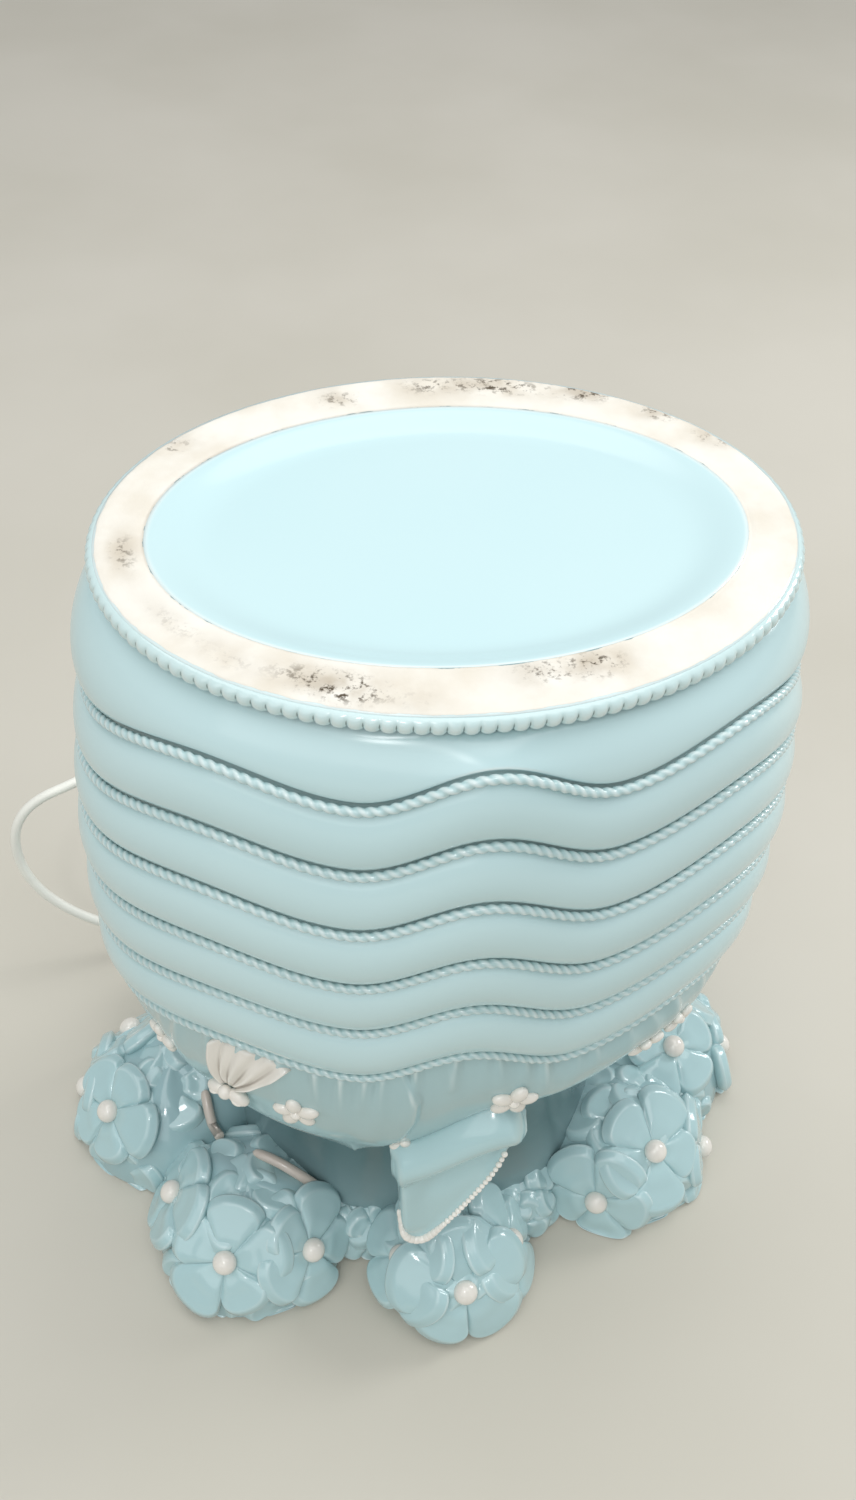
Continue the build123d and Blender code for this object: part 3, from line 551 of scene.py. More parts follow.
def scuffs(angle, share):
    """Dirt on the foot ring at bearings, at a share of the way across it."""
    degrees = np.degrees(angle)
    dirt = np.full(angle.shape, 0.05)
    for bearing, spread, strength, across in SCUFFS:
        away = (degrees - bearing + 180) % 360 - 180
        patch = strength * np.exp(-(away / spread) ** 2)
        dirt = dirt + patch * np.exp(-((share - across) / 0.3) ** 2)
    return np.clip(dirt, 0, 1)


def foot_rows(row, angle):
    """Glazed recess, bare ring, lip and seat of the beads."""
    ring, foot = oval(RING, angle), oval(FOOT, angle)
    for share in RECESS_SHARES:
        rise = smooth(1 - DISH_SHARE, 1.0, share) ** 1.6
        row(ring * share, HEIGHT - RECESS_DEPTH + (RECESS_DEPTH - RECESS_EDGE) * rise)
    uneven = 0.14 * np.sin(7 * angle + 1) + 0.1 * np.sin(17 * angle)
    for share in np.linspace(0.0, 1.0, 15):
        edge = 0.45 * smooth(0.86, 1.0, share) + 0.35 * smooth(0.12, 0.0, share)
        top = HEIGHT - RING_DROP - edge + 0.12 * uneven * (1 - edge)
        bare = smooth(-0.06, 0.05, share) * smooth(1.0, 0.93, share)
        row(ring + (foot - ring) * share, top, bare=bare, scuff=scuffs(angle, share))
    for inset, height in SEAT:
        row(foot - inset, height)


def band_rows(row, angle):
    """Padded bands with their grooves; gives the radius and height that they end at."""
    last_radius = oval(FOOT, angle) - BEAD_INSET
    last_height = np.full_like(angle, BEAD_SEAT_BOTTOM)
    for index in range(len(GROOVES)):
        radius, height = groove(index, angle)
        drop = last_height - (height + GROOVE_HALF)
        for step in range(BAND_STEPS + 1):
            share = step / BAND_STEPS
            bulge = drop * BAND_SWELL * (4 * share * (1 - share)) ** 0.6
            row(last_radius + (radius - last_radius) * share + bulge, last_height - drop * share)
        for up, depth in GROOVE_PROFILE:
            row(radius - depth, height + GROOVE_HALF * up)
        last_radius, last_height = radius, height - GROOVE_HALF
    return last_radius, last_height


def neck_rows(row, angle, top_radius, top_height):
    """Wall that draws in under the drape, the neck and its mouth, then the inside."""
    neck = oval(NECK, angle)
    bore = oval((NECK[0] - NECK_WALL, NECK[1] - NECK_WALL), angle)
    drop = top_height - NECK_TOP + SHOULDER_DROP
    for share in np.linspace(0, 1, 18):
        drawn_in = (1 - share) ** 1.8
        radius = neck + (top_radius - neck) * drawn_in
        # Painted shade under the drape, full from a third of the way down this wall
        row(radius, top_height - drop * share, pool=smooth(0.0, 0.35, share))
    for height in np.linspace(*NECK_HEIGHTS, 8):
        spread = NECK_SPREAD * smooth(*NECK_SPREADS, height)
        uneven = 0.5 * np.sin(height * 0.4 + 5 * angle)
        # Painted shade, deepest under the drape and lighter towards the mouth
        row(neck + spread + uneven, height, pool=smooth(*NECK_SHADE_HEIGHTS, height))
    for turn in np.linspace(0, pi, 7):
        radius = (neck + bore) / 2 + (neck - bore) / 2 * np.cos(turn)
        row(radius, MOUTH_Z + MOUTH_ROUND - MOUTH_ROUND * np.sin(turn))
    for inset, height in BORE:
        row(bore - inset, height)
    for drop, half_width, half_depth in reversed(GROOVES):
        row(oval((half_width - WALL, half_depth - WALL), angle), HEIGHT - drop)
    for share, drop in UNDERSIDE:
        row(oval(RING, angle) * share, HEIGHT - drop)


def vessel():
    """One closed skin from the middle of the recess, down the outside and back up the inside."""
    angle = np.linspace(-pi, pi, VESSEL_SIDES, endpoint=False)
    rows = []
    marks = {"bare": [], "scuff": [], "pool": []}

    def row(radius, height, **values):
        rows.append(round_axis(radius, angle, height))
        for name, marked in marks.items():
            marked.append(np.broadcast_to(values.get(name, 0.0), angle.shape))

    foot_rows(row, angle)
    radius, height = band_rows(row, angle)
    neck_rows(row, angle, radius - SKIRT_THICKNESS, height)
    stacked = {name: np.stack(marked) for name, marked in marks.items()}
    skin = Cloth().grid(np.stack(rows), **stacked)
    skin.piece("vessel", VESSEL_GLAZE, "glaze_blue", "vessel_body")


# Ropes and the beads under the foot

FINE_BEARINGS = np.linspace(-pi, pi, 4001)
ROPE_GAP = 0.2
ROPE_RINGS = 7
ROPE_WAIST = 0.30
FOOT_BEADS = 136
BEAD_STEPS = 10
BEAD_RISE = 1.7
BEAD_SINK = 0.6


def even_bearings(place, count):
    """Bearings that step evenly along a closed line round the body."""
    run = run_along(place(FINE_BEARINGS))
    return np.interp(np.linspace(0, run[-1], count, endpoint=False), run, FINE_BEARINGS)


def rope(index):
    """Two-strand rope in a groove: its round section is waisted and turns along it."""
    def place(angle):
        radius, height = groove(index, angle)
        return round_axis(radius + ROPE_RADIUS + ROPE_GAP, angle, height)
    strands = round(run_along(place(FINE_BEARINGS))[-1] / ROPE_PITCH)
    rings = strands * ROPE_RINGS
    angle = even_bearings(place, rings)
    centre = place(angle)
    ahead = unit(np.roll(centre, -1, 0) - np.roll(centre, 1, 0))
    outward = outwards(angle)
    outward = unit(outward - ahead * (outward * ahead).sum(1)[:, None])
    turn = turns(12)
    twist = (np.arange(rings) / rings * strands * pi)[:, None]
    radius = ROPE_RADIUS * (1 - ROPE_WAIST + ROPE_WAIST * np.abs(np.cos(turn - twist)))
    points = tube(centre, outward, np.cross(ahead, outward), radius, turn)
    name = f"tier_rope_{index + 1}"
    strand = Cloth().grid(points, along=True)
    strand.piece(f"twisted_{name}", ROPE_GLAZE, "glaze_rope", name)


def foot_beads():
    """Rope of beads under the foot: they run together at the top and part in scallops below."""
    def place(angle):
        radius = oval(FOOT, angle) - BEAD_INSET + BEAD_RADIUS - BEAD_SINK
        return round_axis(radius, angle, BEAD_Z + BEAD_RISE)
    rings = FOOT_BEADS * BEAD_STEPS
    angle = even_bearings(place, rings)
    outward = outwards(angle)
    upward = np.broadcast_to((0.0, 0.0, 1.0), outward.shape)
    turn = turns(20)
    swell = np.abs(np.sin(np.arange(rings) / BEAD_STEPS * pi))[:, None] ** 0.6
    size = np.repeat(rng.uniform(0.93, 1.03, FOOT_BEADS), BEAD_STEPS)[:, None]
    parted = 0.36 * smooth(0.95, 0.0, np.sin(turn))
    radius = BEAD_RADIUS * (1 - parted * (1 - size * swell))
    beads = Cloth().grid(tube(place(angle), outward, upward, radius, turn), along=True)
    beads.piece("foot_beads", BEAD_GLAZE, "glaze_rope", "foot_bead_rope")


# Drape

HEM_DROP = 6.0
HEM_POINTS = 8
HEM_SCALLOP = 11.0
HEM_LIFT = 30.0
# Bearings between which the hem is drawn up, and between which it is down again
LIFT_FROM = (-106, -76)
LIFT_TO = (28, -18)
# Edge of the front panel, which laps over the next: share of the way down, bearing
SEAM = [
    (0.0, -104.0), (0.3, -100.0), (0.5, -100.5), (0.7, -103.0), (0.85, -108.0), (1.0, -116.6)
]
LAP_FROM = (-165, -130)
# Gathers: bearings and leans in radians, heights, shares of the drape that they reach down
PLEATS = 64
even = np.linspace(-pi, pi, PLEATS, endpoint=False)
pleat_places = np.sort(even + rng.normal(0, 0.03, PLEATS))
pleat_leans = rng.normal(0, 0.05, PLEATS)
pleat_heights = rng.uniform(0.5, 1.9, PLEATS)
pleat_reaches = rng.uniform(0.3, 0.8, PLEATS)
# Gap below the last groove, and how far the drape's face lies under the groove's
DRAPE_GAP = 0.3
DRAPE_SINK = 1.0
DRAPE_SIDES = 900
# Rows of the drape: share of the way down, distance inside its outer face
DRAPE_ROWS = [
    (0.0, 3.4),
    *((share, 0.0) for share in np.linspace(0, 0.985, 34)),
    (1.0, 0.5), (1.0, 1.6), (0.98, 3.0), (0.5, 3.4),
]


def hem_height(angle):
    """The hem hangs in points, one at a set bearing, and is drawn up on the right."""
    degrees = np.degrees(angle)
    lift = HEM_LIFT * smooth(*LIFT_FROM, degrees) * smooth(*LIFT_TO, degrees)
    scallop = np.abs(np.sin(HEM_POINTS / 2 * (angle - radians(HEM_POINT)))) ** 0.75
    return HEM_Z - HEM_DROP + HEM_SCALLOP * scallop + lift


def pleats(angle, share):
    """How far the gathers stand out from the drape."""
    out = np.zeros(np.broadcast_shapes(angle.shape, share.shape))
    gathers = zip(pleat_places, pleat_leans, pleat_heights, pleat_reaches)
    for place, lean, height, reach in gathers:
        away = (angle - place - lean * share + pi) % (2 * pi) - pi
        fade = np.clip(1 - share / reach, 0, 1) ** 0.8
        width = 0.02 + 0.045 * share
        out = out + height * fade * np.exp(-(away / width) ** 2)
    return out


def swags(angle, share):
    """Soft folds between the hem's points, and the front panel's lap over the next one."""
    phase = HEM_POINTS / 2 * (angle - radians(HEM_POINT)) / pi
    within = phase - np.floor(phase)
    fold = 0.5 * np.sin(2 * pi * (share * 1.4 + 2.4 * (within - 0.5) ** 2))
    seam = np.radians(np.interp(share, *zip(*SEAM)))
    lap = 1.6 * smooth(0.014, -0.014, angle - seam) * smooth(*np.radians(LAP_FROM), angle)
    swag = np.sin(pi * within) * share
    return fold * smooth(0.3, 0.8, share) + lap + swag


def skirt_surface(angle, share, inwards=0.0):
    """Points of the drape's outer face."""
    radius, height = groove(-1, angle)
    top = height - GROOVE_HALF - DRAPE_GAP
    drop = (top - hem_height(angle)) * share
    fall = drop / (top - HEM_Z)
    out = 4 * SKIRT_SWELL * share * (1 - share) + pleats(angle, share) + swags(angle, share)
    along = radius + (oval(HEM, angle) - radius) * fall + (out - DRAPE_SINK) - inwards
    return round_axis(along, angle, top - drop)


def drape():
    angle = np.linspace(-pi, pi, DRAPE_SIDES, endpoint=False)[None, :]
    rows = [
        skirt_surface(angle, np.full_like(angle, share), inwards) for share, inwards in DRAPE_ROWS
    ]
    skirt = Cloth().grid(np.concatenate(rows), along=True)
    # Its glaze is painted darker, as shade on the drape's downward face
    skirt.piece("gathered_drape", SHADED_DRAPE_GLAZE, "glaze_drape", "drape_skirt")


def skirt_frame(bearing, share, lift):
    """Place on the drape with its axes: along the body, up the drape and outwards."""
    def at(angle, s):
        return skirt_surface(np.array([[angle]]), np.array([[s]]))[0, 0]
    angle = radians(bearing)
    across = unit(at(angle + 0.06, share) - at(angle - 0.06, share))
    up = at(angle, max(share - 0.15, 0.0)) - at(angle, min(share + 0.1, 1.0))
    up = unit(up - across * (up @ across))
    out = np.cross(across, up)
    return at(angle, share) + out * lift, np.array([across, up, out])


# Small white flowers on the drape: bearing, share of the way down, size, turn
DRAPE_FLOWERS = [
    (-162, 0.44, 1.0, 10), (-127, 0.46, 1.1, 40), (-102, 0.95, 0.9, 5), (-78, 0.62, 1.15, 20),
    (-42, 0.86, 1.0, 60), (-34, 0.66, 0.9, 0), (20, 0.6, 1.0, 30), (52, 0.75, 1.0, 10),
    (84, 0.6, 1.0, 50), (118, 0.8, 1.0, 25), (150, 0.55, 1.0, 70),
]
SMALL_PETAL = (3.6, 2.5, 1.9)
SMALL_REACH = 4.3
SMALL_CENTRE = (1.9, 1.9, 1.7)


def drape_flowers():
    cloth = Cloth()
    for bearing, share, size, turn in DRAPE_FLOWERS:
        place, axes = skirt_frame(bearing, share, lift=0.4)
        for petal in range(PETALS):
            around = radians(turn + 360 * petal / PETALS)
            out = axes[0] * cos(around) + axes[1] * sin(around)
            side = axes[1] * cos(around) - axes[0] * sin(around)
            half = np.array(SMALL_PETAL) * size * rng.uniform(0.9, 1.1)
            middle = place + out * SMALL_REACH * size
            cloth.grid(ball(middle, (out, side, axes[2]), half, 9, 14))
        middle = place + axes[2] * 0.8
        cloth.grid(ball(middle, axes, np.array(SMALL_CENTRE) * size, 8, 12))
    cloth.piece("white_drape_flowers", WHITE_GLAZE, "glaze_white", "drape_flowers")


# Fan: bearing and share down the drape of its bow, and of the middle of its top edge
FAN_BOW = (-141.5, 0.48)
FAN_TOP = (-136.5, 0.0)
# Half its width in degrees, and its pleats
FAN_HALF = 9.0
FAN_PLEATS = 4
# Depth of its back and edges in the drape
FAN_SINK = 1.2
# Bow: lean of its loops and direction of its ends
BOW_LEAN = radians(20)
BOW_HANG = (0.45, 0.9)
# Its lumps: distance out, rise, half sizes, rows and columns
BOW_LOOP = (4.8, 0.0, (4.4, 3.2, 2.6), 10, 16)
BOW_PAD = (5.2, 1.4, (2.4, 1.3, 1.7), 8, 12)
BOW_END = (4.6, -0.6, (4.2, 2.2, 1.8), 10, 14)
BOW_KNOT = (0.0, 1.0, (2.6, 3.0, 2.6), 10, 14)


def fan():
    """Pleated fan that opens upwards from its bow, with a thick rib on each side."""
    across = np.linspace(-1, 1, FAN_PLEATS * 14 + 1)[None, :]
    up = np.linspace(0, 1, 26)[:, None]
    half = FAN_HALF * (0.1 + 0.9 * up ** 0.8)
    angle = np.radians(FAN_BOW[0] + (FAN_TOP[0] - FAN_BOW[0]) * up + half * across)
    share = FAN_BOW[1] + (FAN_TOP[1] - FAN_BOW[1]) * up * (1 - 0.1 * across ** 2)
    fold = 0.8 * np.cos(pi * FAN_PLEATS * across) * smooth(0.0, 0.4, up)
    rib = 1.4 * np.exp(-((np.abs(across) - 0.9) / 0.12) ** 2)
    lift = 1.5 + fold + rib + 1.2 * np.sin(pi * up)
    ends = smooth(0.0, 0.06, up) * smooth(1.0, 0.97, up) * smooth(1.0, 0.93, np.abs(across))
    front = skirt_surface(angle, share, FAN_SINK - lift * ends)
    back = skirt_surface(angle, share, FAN_SINK)[:, ::-1]
    cloth = Cloth().grid(np.concatenate([front, back[:, 1:-1]], 1))
    cloth.piece("white_fan", WHITE_GLAZE, "glaze_white", "pleated_fan")


def bow():
    place, axes = skirt_frame(FAN_BOW[0] - 0.3, FAN_BOW[1] + 0.01, lift=1.6)
    cloth = Cloth()

    def lump(ahead, reach, rise, *shape):
        middle = place + ahead * reach + axes[2] * rise
        lying = (ahead, np.cross(axes[2], ahead), axes[2])
        cloth.grid(ball(middle, lying, *shape))

    for side in (-1, 1):
        out = axes[0] * side * cos(BOW_LEAN) - axes[1] * sin(BOW_LEAN)
        lump(out, *BOW_LOOP)
        lump(out, *BOW_PAD)
        lump(unit(axes[0] * side * BOW_HANG[0] - axes[1] * BOW_HANG[1]), *BOW_END)
    lump(axes[0], *BOW_KNOT)
    cloth.piece("white_bow", WHITE_GLAZE, "glaze_white", "fan_bow")


# Tail of the drape: bearings of its ends under the hem, and its lower edge from the body's axis
TAIL_BEARINGS = (-107.0, -73.0)
TAIL_EDGE = [
    (-21.0, -86.0, 70.0), (-17.5, -87.0, 60.0), (-11.0, -87.5, 57.0),
    (-5.0, -87.5, 66.0), (4.0, -86.0, 81.0), (13.0, -84.0, 97.0),
    (20.0, -83.0, 109.0), (24.5, -81.0, 119.0), (26.0, -79.0, 128.0),
]
TAIL_COLUMNS = 44
TAIL_CLIMB = 0.25
TAIL_THICKNESS = 3.0
# Roll under the hem: height, width
TAIL_ROLL = 9.0
TAIL_ROLL_WIDTH = 24.0
# White hem of the tail: rolls at its left, then dots
ROLLS = 13
DOT_COLUMNS = slice(13, 34)
DOT_SHARES = np.linspace(0.02, 0.98, 19)


def along_line(points, shares):
    """Smooth line through points, read at shares of its length."""
    points = np.asarray(points, float)
    for _ in range(3):
        middle = np.empty((2 * len(points), 3))
        middle[0], middle[-1] = points[0], points[-1]
        middle[1:-1:2] = 0.75 * points[:-1] + 0.25 * points[1:]
        middle[2:-1:2] = 0.25 * points[:-1] + 0.75 * points[1:]
        points = middle
    run = run_along(points)
    return np.stack([np.interp(shares * run[-1], run, points[:, k]) for k in range(3)], -1)


def tail():
    """Cloth end that rolls out from under the hem, sinks to a hollow and ends in a tongue."""
    across = np.linspace(0, 1, TAIL_COLUMNS)
    down = np.linspace(0, 1, 34)[:, None]
    bearing = np.radians(TAIL_BEARINGS[0] + (TAIL_BEARINGS[1] - TAIL_BEARINGS[0]) * across)
    top = skirt_surface(bearing[None, :], np.full((1, TAIL_COLUMNS), 0.88), inwards=2.0)[0]
    edge = along_line(TAIL_EDGE, across) + AXIS
    run = np.linalg.norm(edge - top, axis=1)[None, :]
    far = down * run
    reach = np.minimum(run, TAIL_ROLL_WIDTH)
    roll = TAIL_ROLL * np.sin(pi * np.clip(far / reach, 0, 1)) ** 0.8
    roll = roll * smooth(1.0, 0.8, across)
    fold = 3.2 * np.exp(-((across - 0.1) / 0.09) ** 2)
    fold = fold * smooth(0.25, 0.55, down) * smooth(1.0, 0.85, down)
    hollow = 3.6 * np.exp(-((far - 30) / 7.0) ** 2) * smooth(0.12, 0.4, across)
    lip = 1.2 * np.exp(-((far - run) / 2.5) ** 2)
    curl = 6.0 * smooth(0.1, 0.0, across) + 4.0 * smooth(0.92, 1.0, across)
    out = roll + fold - hollow + lip - curl * smooth(0.0, 0.2, down)
    outward = outwards(bearing, TAIL_CLIMB)
    front = top + (edge - top) * down[..., None] + outward * out[..., None]
    back = (front - outward * TAIL_THICKNESS)[:, ::-1]
    closed = np.concatenate([front, back], 1)
    for row in (0, -1):
        closed[row, TAIL_COLUMNS:] = front[row, ::-1]
    Cloth().grid(closed).piece("drape_end", TAIL_GLAZE, "glaze_drape", "drape_tail")
    tail_hem(front[-1], outward)


def tail_hem(rim, outward):
    """White hem along the tail's edge, which breaks into dots."""
    hem = Cloth()
    for number in range(ROLLS):
        step = rim[number + 1] - rim[number]
        ahead = unit(step)
        side = unit(np.cross(ahead, outward[number]))
        axes = (ahead, side, np.cross(ahead, side))
        thick = 1.7 * sqrt(1 - ((number - ROLLS // 2) / 8) ** 2)
        half = (np.linalg.norm(step) * 1.1, thick, thick)
        hem.grid(ball(rim[number] + step / 2, axes, half, 10, 12))
    for middle in along_line(rim[DOT_COLUMNS], DOT_SHARES):
        size = rng.uniform(0.9, 1.3)
        hem.grid(ball(middle, np.eye(3), (size,) * 3, 8, 10))
    hem.piece("drape_end_hem", WHITE_GLAZE, "glaze_white")


# Crown

# Petals: turn in degrees, half of it in radians, loft over the dome, shares of the way out
PETAL_TURN = 360 / PETALS
PETAL_HALF = pi / PETALS
PETAL_LOFT = 1.35
PETAL_SHARES = np.concatenate([np.linspace(0, 0.8, 18), np.linspace(0.83, 1.0, 11)])[:, None]
BLOSSOM_SIDES = PETALS * 40
# Under a flower's edge: distance inwards, distance down; then its foot and its point
PETAL_UNDER = [(-0.5, 0.5), (-0.6, 1.4), (0.2, 2.6), (2.0, 4.2)]
FLOWER_FOOT = (0.45, -7.0)
FLOWER_POINT = -8.0
# Height that the crown rests at, and height below which its pieces are eased towards that
FLOOR_GAP = 0.2
FLOOR_EASE = 5.0
FLOWER_SINK = 0.6
# Large front flowers: turn in degrees, size against the rest
FRONT_FLOWERS = {
    ("front", 1): (54, 1.15), ("left_front", 1): (57, 1.06), ("right_front", 1): (3, 1.06)
}
CENTRE_BEAD = (4.9, 4.9, 4.2)
CENTRE_LIFT = 2.2
# Flowers half hidden under the others: bearing and elevation on each dome
HIDDEN_BLOSSOMS = [(-95, 74), (20, 66), (-130, 8), (-70, 6), (150, 60), (80, 20)]
HIDDEN_RADIUS = 19.0
HIDDEN_SINK = 3.0
# Low lumps between the front domes, part of the neck: middle from the axis, radius, bearing
VALLEYS = [((-30.0, -48.0, 2.0), 20.0, -120), ((34.5, -48.6, 2.0), 20.0, -55)]
# Flowers on them: turn from the lump's bearing, elevation
VALLEY_FLOWERS = ((-38, 24), (40, 30), (0, 66))
VALLEY_RADIUS = 15.0
VALLEY_SINK = 1.5
# Pale ridges on the crown: places from the body's axis
RIDGES = [
    [(-74.0, -35.0, 38.5), (-66.0, -39.5, 38.8), (-56.0, -46.0, 35.5), (-45.0, -52.0, 25.5)],
    [(-93.0, -2.0, 36.0), (-90.5, -13.0, 33.5), (-87.0, -22.0, 28.5)],
]
RIDGE_RADIUS = 2.2
RIDGE_LIFT = 1.6


def dome_middle(name):
    x, y, radius, height = DOMES[name]
    return np.array([x, y, height - radius]) + AXIS, radius


def dome_axes(bearing, elevation, turn):
    """Axes of a blossom on a dome: two along its face, turned, and one outwards."""
    flat, climb = cos(radians(elevation)), sin(radians(elevation))
    out = np.array([flat * cos(radians(bearing)), flat * sin(radians(bearing)), climb])
    side = unit(np.cross((0, 0, 1), out))
    over = np.cross(out, side)
    return np.array([
        side * cos(turn) + over * sin(turn), over * cos(turn) - side * sin(turn), out
    ])


def blossom_grid(size, dome_radius, lean, loft=1.0):
    """Five cupped petals with soft rims, creased between them, bent over the dome."""
    turn = turns(BLOSSOM_SIDES)
    share = PETAL_SHARES
    petal = np.floor(turn / (2 * PETAL_HALF))
    within = (turn / (2 * PETAL_HALF) - petal - 0.5) * 2
    lobe = 0.74 + 0.26 * np.sqrt(1 - np.abs(within) ** 3.0)
    outline = size * lobe * (1 + 0.09 * np.sin(petal * 2.4 + lean))
    radius = outline * share
    rise = 0.6 + 1.9 * (radius / size) ** 1.2
    pillow = 2.3 * (1 - np.abs(within) ** 5) * smooth(0.1, 0.55, share)
    cup = np.exp(-((share - 0.6) / 0.2) ** 2) * (1 - within ** 2)
    rim = 0.5 * np.exp(-((outline - radius - 2.0) / 1.6) ** 2) * smooth(0.3, 0.6, share)
    rim_fall = 1.8 * share ** 16
    slope = 0.9 * (within + np.sin(petal * 1.7 + lean * 3)) * share
    height = rise + pillow - cup + rim - rim_fall + slope
    drop = (radius ** 2) / (2 * dome_radius * loft)
    flat = outwards(turn)
    local = flat * radius[..., None]
    local[..., 2] = height - drop
    last = local[-1:]
    below = []
    for inwards, down in PETAL_UNDER:
        ring = last - flat * inwards
        ring[..., 2] -= down
        below.append(ring)
    foot = last * FLOWER_FOOT[0]
    foot[..., 2] = FLOWER_FOOT[1]
    point = np.zeros_like(last)
    point[..., 2] = FLOWER_POINT
    return np.concatenate([local, *below, foot, point])


def above_floor(points):
    """Eases what would reach through the surface that the crown stands on into a flat rest."""
    height = points[..., 2]
    depth = FLOOR_EASE - FLOOR_GAP
    eased = FLOOR_GAP + depth * np.exp(np.minimum(height - FLOOR_EASE, 0) / depth)
    points[..., 2] = np.where(height < FLOOR_EASE, eased, height)
    return points


def add_flower(cloth, place, axes, *shape):
    cloth.grid(above_floor(place + blossom_grid(*shape) @ axes))


def clay_dome(name):
    middle, radius = dome_middle(name)
    up = np.linspace(0, pi, 40)[:, None]
    turn = turns(72)
    swell = radius - 0.4 + 0.9 * np.sin(5 * turn + radius) * np.sin(3 * up)
    lump = Cloth().grid(above_floor(middle + swell[..., None] * globe(up, turn)))
    lump.piece(f"clay_{name}", DOME_GLAZE, "glaze_shade", f"bouquet_{name}")


def bouquets():
    """Domes with their flowers and centre beads."""
    beads = Cloth()
    for name, places in BLOSSOMS.items():
        middle, radius = dome_middle(name)
        petals = Cloth()
        for number, (bearing, elevation) in enumerate(places):
            drawn = rng.uniform(0, PETAL_TURN)
            turn, larger = FRONT_FLOWERS.get((name, number), (drawn, 1.0))
            axes = dome_axes(bearing, elevation, radians(turn))
            place = middle + axes[2] * (radius - FLOWER_SINK)
            size = BLOSSOM_RADIUS * rng.uniform(0.96, 1.02) * larger
            add_flower(petals, place, axes, size, radius, number + radius, PETAL_LOFT)
            bead = ball(place + axes[2] * CENTRE_LIFT, axes, CENTRE_BEAD, 12, 20)
            beads.grid(above_floor(bead))
        for number, (bearing, elevation) in enumerate(HIDDEN_BLOSSOMS):
            axes = dome_axes(bearing, elevation, radians(rng.uniform(0, PETAL_TURN)))
            place = middle + axes[2] * (radius - HIDDEN_SINK)
            add_flower(petals, place, axes, HIDDEN_RADIUS, radius, number - radius)
        petals.piece(f"petals_{name}", PETAL_GLAZE, "glaze_petal", f"blossoms_{name}")
        clay_dome(name)
    valleys()
    beads.piece("flower_beads", WHITE_GLAZE, "glaze_white", "blossom_beads")


def valleys():
    """Low lumps with flowers between the front domes."""
    cloth = Cloth()
    for place, radius, bearing in VALLEYS:
        middle = np.asarray(place) + AXIS
        cloth.grid(above_floor(ball(middle, np.eye(3), (radius,) * 3, 20, 32)))
        for turn, elevation in VALLEY_FLOWERS:
            axes = dome_axes(bearing + turn, elevation, radians(rng.uniform(0, PETAL_TURN)))
            flower = middle + axes[2] * (radius - VALLEY_SINK)
            add_flower(cloth, flower, axes, VALLEY_RADIUS, radius, turn)
    cloth.piece("petals_valleys", PETAL_GLAZE, "glaze_petal")


def on_domes(points):
    """Moves points on to the nearest face of the domes."""
    moved = []
    for point in points:
        choices = []
        for name in DOMES:
            middle, radius = dome_middle(name)
            away = np.linalg.norm(point - middle)
            on_face = middle + (point - middle) / away * (radius + RIDGE_LIFT)
            choices.append((abs(away - radius), on_face))
        moved.append(min(choices, key=lambda choice: choice[0])[1])
    return np.array(moved)


def ridges():
    """Unglazed ridges on the left of the crown."""
    cloth = Cloth()
    share = np.linspace(0, 1, 30)
    thick = RIDGE_RADIUS * np.sqrt(np.clip(1 - (2 * share - 1) ** 8, 0, 1))[:, None]
    for places in RIDGES:
        centre = on_domes(along_line(np.asarray(places) + AXIS, share))
        ahead = unit(np.gradient(centre, axis=0))
        side = unit(np.cross(ahead, (0, 0, 1)))
        over = np.cross(side, ahead)
        cloth.grid(tube(centre, side, over, thick, turns(16)))
    cloth.piece("pale_ridges", RIDGE_GLAZE, "glaze_white")


# Flex: the routes of the model, in millimetres from the body's axis

FLEX_DIAMETER = 4.5
GLAND_Z = 251.5
LEAD_ROUTE = [
    (0.0, 150.0, GLAND_Z), (-16.0, 174.0, 228.0), (-40.0, 178.0, 186.0), (-70.0, 160.0, 146.0),
    (-102.0, 138.0, 118.0), (-130.0, 124.0, 104.0), (-170.0, 112.0, 97.0), (-171.0, 104.0, 56.0),
    (-140.0, 98.0, 24.0), (-100.0, 104.0, 7.0), (-62.0, 118.0, 2.4), (-32.0, 132.0, 3.4),
    (-16.0, 138.0, 5.0),
]
SWITCH_LEFT = (0.0, 138.0, 5.0)
SWITCH_RIGHT = (60.0, 138.0, 5.0)
LEAD_IN = 12.0
COIL_TURNS = 6.5
COIL_MIDDLE_RADIUS = 27.0
COIL_PITCH = 5.1
COIL_Z = 3.85
COIL_LINK = 40.0
COIL_POINTS = 24
REVERSAL = 0.25
PLUG_TAIL = 36.0
PLUG_Z = 7.0
half_turns = COIL_TURNS / 2
coil_outer = COIL_MIDDLE_RADIUS + COIL_PITCH * half_turns / 2
coil_middle = np.array([SWITCH_RIGHT[0] + COIL_LINK, SWITCH_RIGHT[1] + coil_outer, 0.0])


def coil_place(turn):
    """Point of the coil's line: the spiral reverses and climbs within half a turn."""
    from_middle = abs(turn - half_turns)
    inwards = from_middle
    climb = 0.0 if turn < half_turns else 1.0
    if from_middle < REVERSAL:
        inwards = (from_middle ** 2 / REVERSAL + REVERSAL) / 2
        climb = (1 + sin((turn - half_turns) / REVERSAL * pi / 2)) / 2
    radius = coil_outer - COIL_PITCH * (half_turns - inwards)
    angle = 2 * pi * turn - pi / 2
    return coil_middle + (radius * cos(angle), radius * sin(angle), COIL_Z + COIL_PITCH * climb)


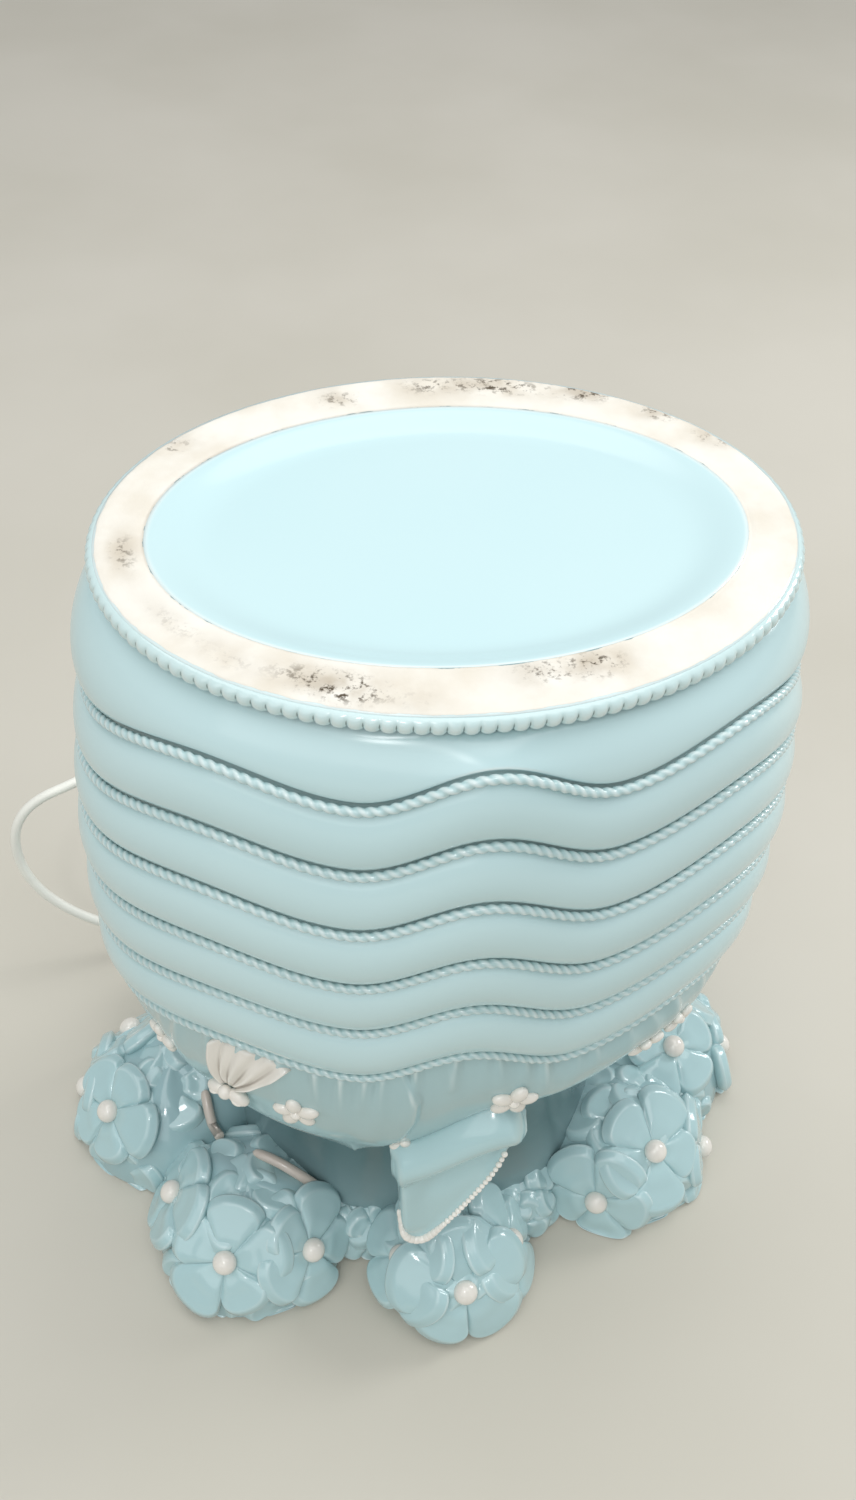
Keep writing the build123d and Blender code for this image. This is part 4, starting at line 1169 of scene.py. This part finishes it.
def flex(name, points):
    """Flex along one smooth line through its route."""
    curve = bpy.data.curves.new(name, "CURVE")
    curve.dimensions = "3D"
    curve.bevel_depth = FLEX_DIAMETER / 2 * MM
    curve.bevel_resolution = 5
    curve.resolution_u = 10
    curve.use_fill_caps = True
    spline = curve.splines.new("NURBS")
    spline.points.add(len(points) - 1)
    for target, point in zip(spline.points, points):
        target.co = (*((np.asarray(point) + AXIS) * MM), 1.0)
    spline.order_u = 3
    spline.use_endpoint_u = True
    curve.materials.append(FLEX_SHEATH)
    piece = bpy.data.objects.new(name, curve)
    bpy.context.collection.objects.link(piece)
    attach(piece, "lamp")
    return piece


def flexes():
    gland_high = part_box("flex_gland")[1]
    tip = np.array([0.0, gland_high.y / MM - AXIS[1], GLAND_Z])
    lead = flex("flex_from_lamp", [tip] + LEAD_ROUTE + [SWITCH_LEFT])
    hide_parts("flex_lead")
    step = 1e-4
    into = unit(coil_place(step) - coil_place(-step))
    away = unit(coil_place(COIL_TURNS + step) - coil_place(COIL_TURNS - step))
    start = coil_place(0) - into * FLEX_DIAMETER
    end = coil_place(COIL_TURNS) + away * FLEX_DIAMETER
    plug_end = np.array([end[0] - PLUG_TAIL, end[1], PLUG_Z])
    switch_end = np.array(SWITCH_RIGHT)
    count = round(COIL_TURNS * COIL_POINTS) + 1
    route = [switch_end, switch_end + (LEAD_IN, 0, 0), start - into * LEAD_IN, start]
    route += [coil_place(number / COIL_POINTS) for number in range(count)]
    route += [end, end + away * LEAD_IN, plug_end + (LEAD_IN, 0, 0), plug_end]
    rest = flex("flex_to_plug", route)
    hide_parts("flex_link", "flex_coil", "flex_tail")


def dress_model_pieces():
    """Finish of the pieces that keep the model's own shape."""
    finishes = {
        FLEX_SHEATH: ["flex_gland", "inner_lead", "coil_tie"],
        SWITCH_SHELL: ["switch_base", "switch_cover", "plug_body"],
        ROCKER_SHELL: ["switch_rocker"],
        HOLDER_SHELL: ["lampholder_shell"],
        BRASS: [
            "holder_nipple", "nipple_nut_top", "nipple_nut_bottom", "lampholder_sleeve", "plug_pins"
        ],
        PLATE_STEEL: ["holder_plate"],
        CAP_METAL: ["bulb_cap"],
        BULB_FROST: ["bulb_glass"],
    }
    for material, names in finishes.items():
        for name in names:
            for holder in nodes[name].material_slots:
                holder.material = material


# Floor and light

FLOOR_HALF = 6.0
FLOOR_CORNERS = ((-1, -1), (1, -1), (1, 1), (-1, 1))
FLOOR_COLOURS = ((0.80, 0.785, 0.74), (0.77, 0.755, 0.705))
SKY_COLOUR = (0.95, 0.97, 1.0, 1.0)
SKY_STRENGTH = 0.42
# Lights: name, place and target in metres, size, power
LIGHTS = [
    ("overhead", (0.0, 0.0, 2.1), (0, 0, 0.2), (2.2, 2.2), 28.0),
    ("window", (1.4, 0.4, 0.9), (0, 0, 0.25), (0.45, 0.6), 8.5),
    ("ceiling_spot", (-0.35, -1.1, 1.7), (0, 0, 0.15), (0.22, 0.3), 3.5),
    ("front_fill", (-1.0, -1.5, 1.4), (0, 0, 0.2), (2.0, 1.6), 10.5),
]


def floor():
    mesh = bpy.data.meshes.new("floor")
    corners = [(x * FLOOR_HALF, y * FLOOR_HALF, 0) for x, y in FLOOR_CORNERS]
    mesh.from_pydata(corners, [], [(0, 1, 2, 3)])
    shader = Shader("pale_floor", roughness=0.6, specular=0.3)
    shader.feed("Base Color", shader.mix(shader.mottle(3.0, 4.0), *map(linear, FLOOR_COLOURS)))
    mesh.materials.append(shader.material)
    plane = bpy.data.objects.new("floor", mesh)
    bpy.context.collection.objects.link(plane)


def lights():
    world = bpy.data.worlds.new("studio")
    world.use_nodes = True
    background = world.node_tree.nodes["Background"]
    background.inputs["Color"].default_value = SKY_COLOUR
    background.inputs["Strength"].default_value = SKY_STRENGTH
    bpy.context.scene.world = world
    for name, place, target, size, power in LIGHTS:
        data = bpy.data.lights.new(name, "AREA")
        data.shape = "RECTANGLE"
        data.size, data.size_y = size
        data.energy = power
        light = bpy.data.objects.new(name, data)
        light.location = place
        aim = Vector(target) - Vector(place)
        light.rotation_euler = aim.to_track_quat("-Z", "Y").to_euler()
        bpy.context.collection.objects.link(light)


vessel()
for number in range(len(GROOVES)):
    rope(number)
foot_beads()
drape()
drape_flowers()
fan()
bow()
tail()
bouquets()
ridges()
flexes()
dress_model_pieces()
floor()
lights()
bpy.context.scene.view_settings.view_transform = "Standard"
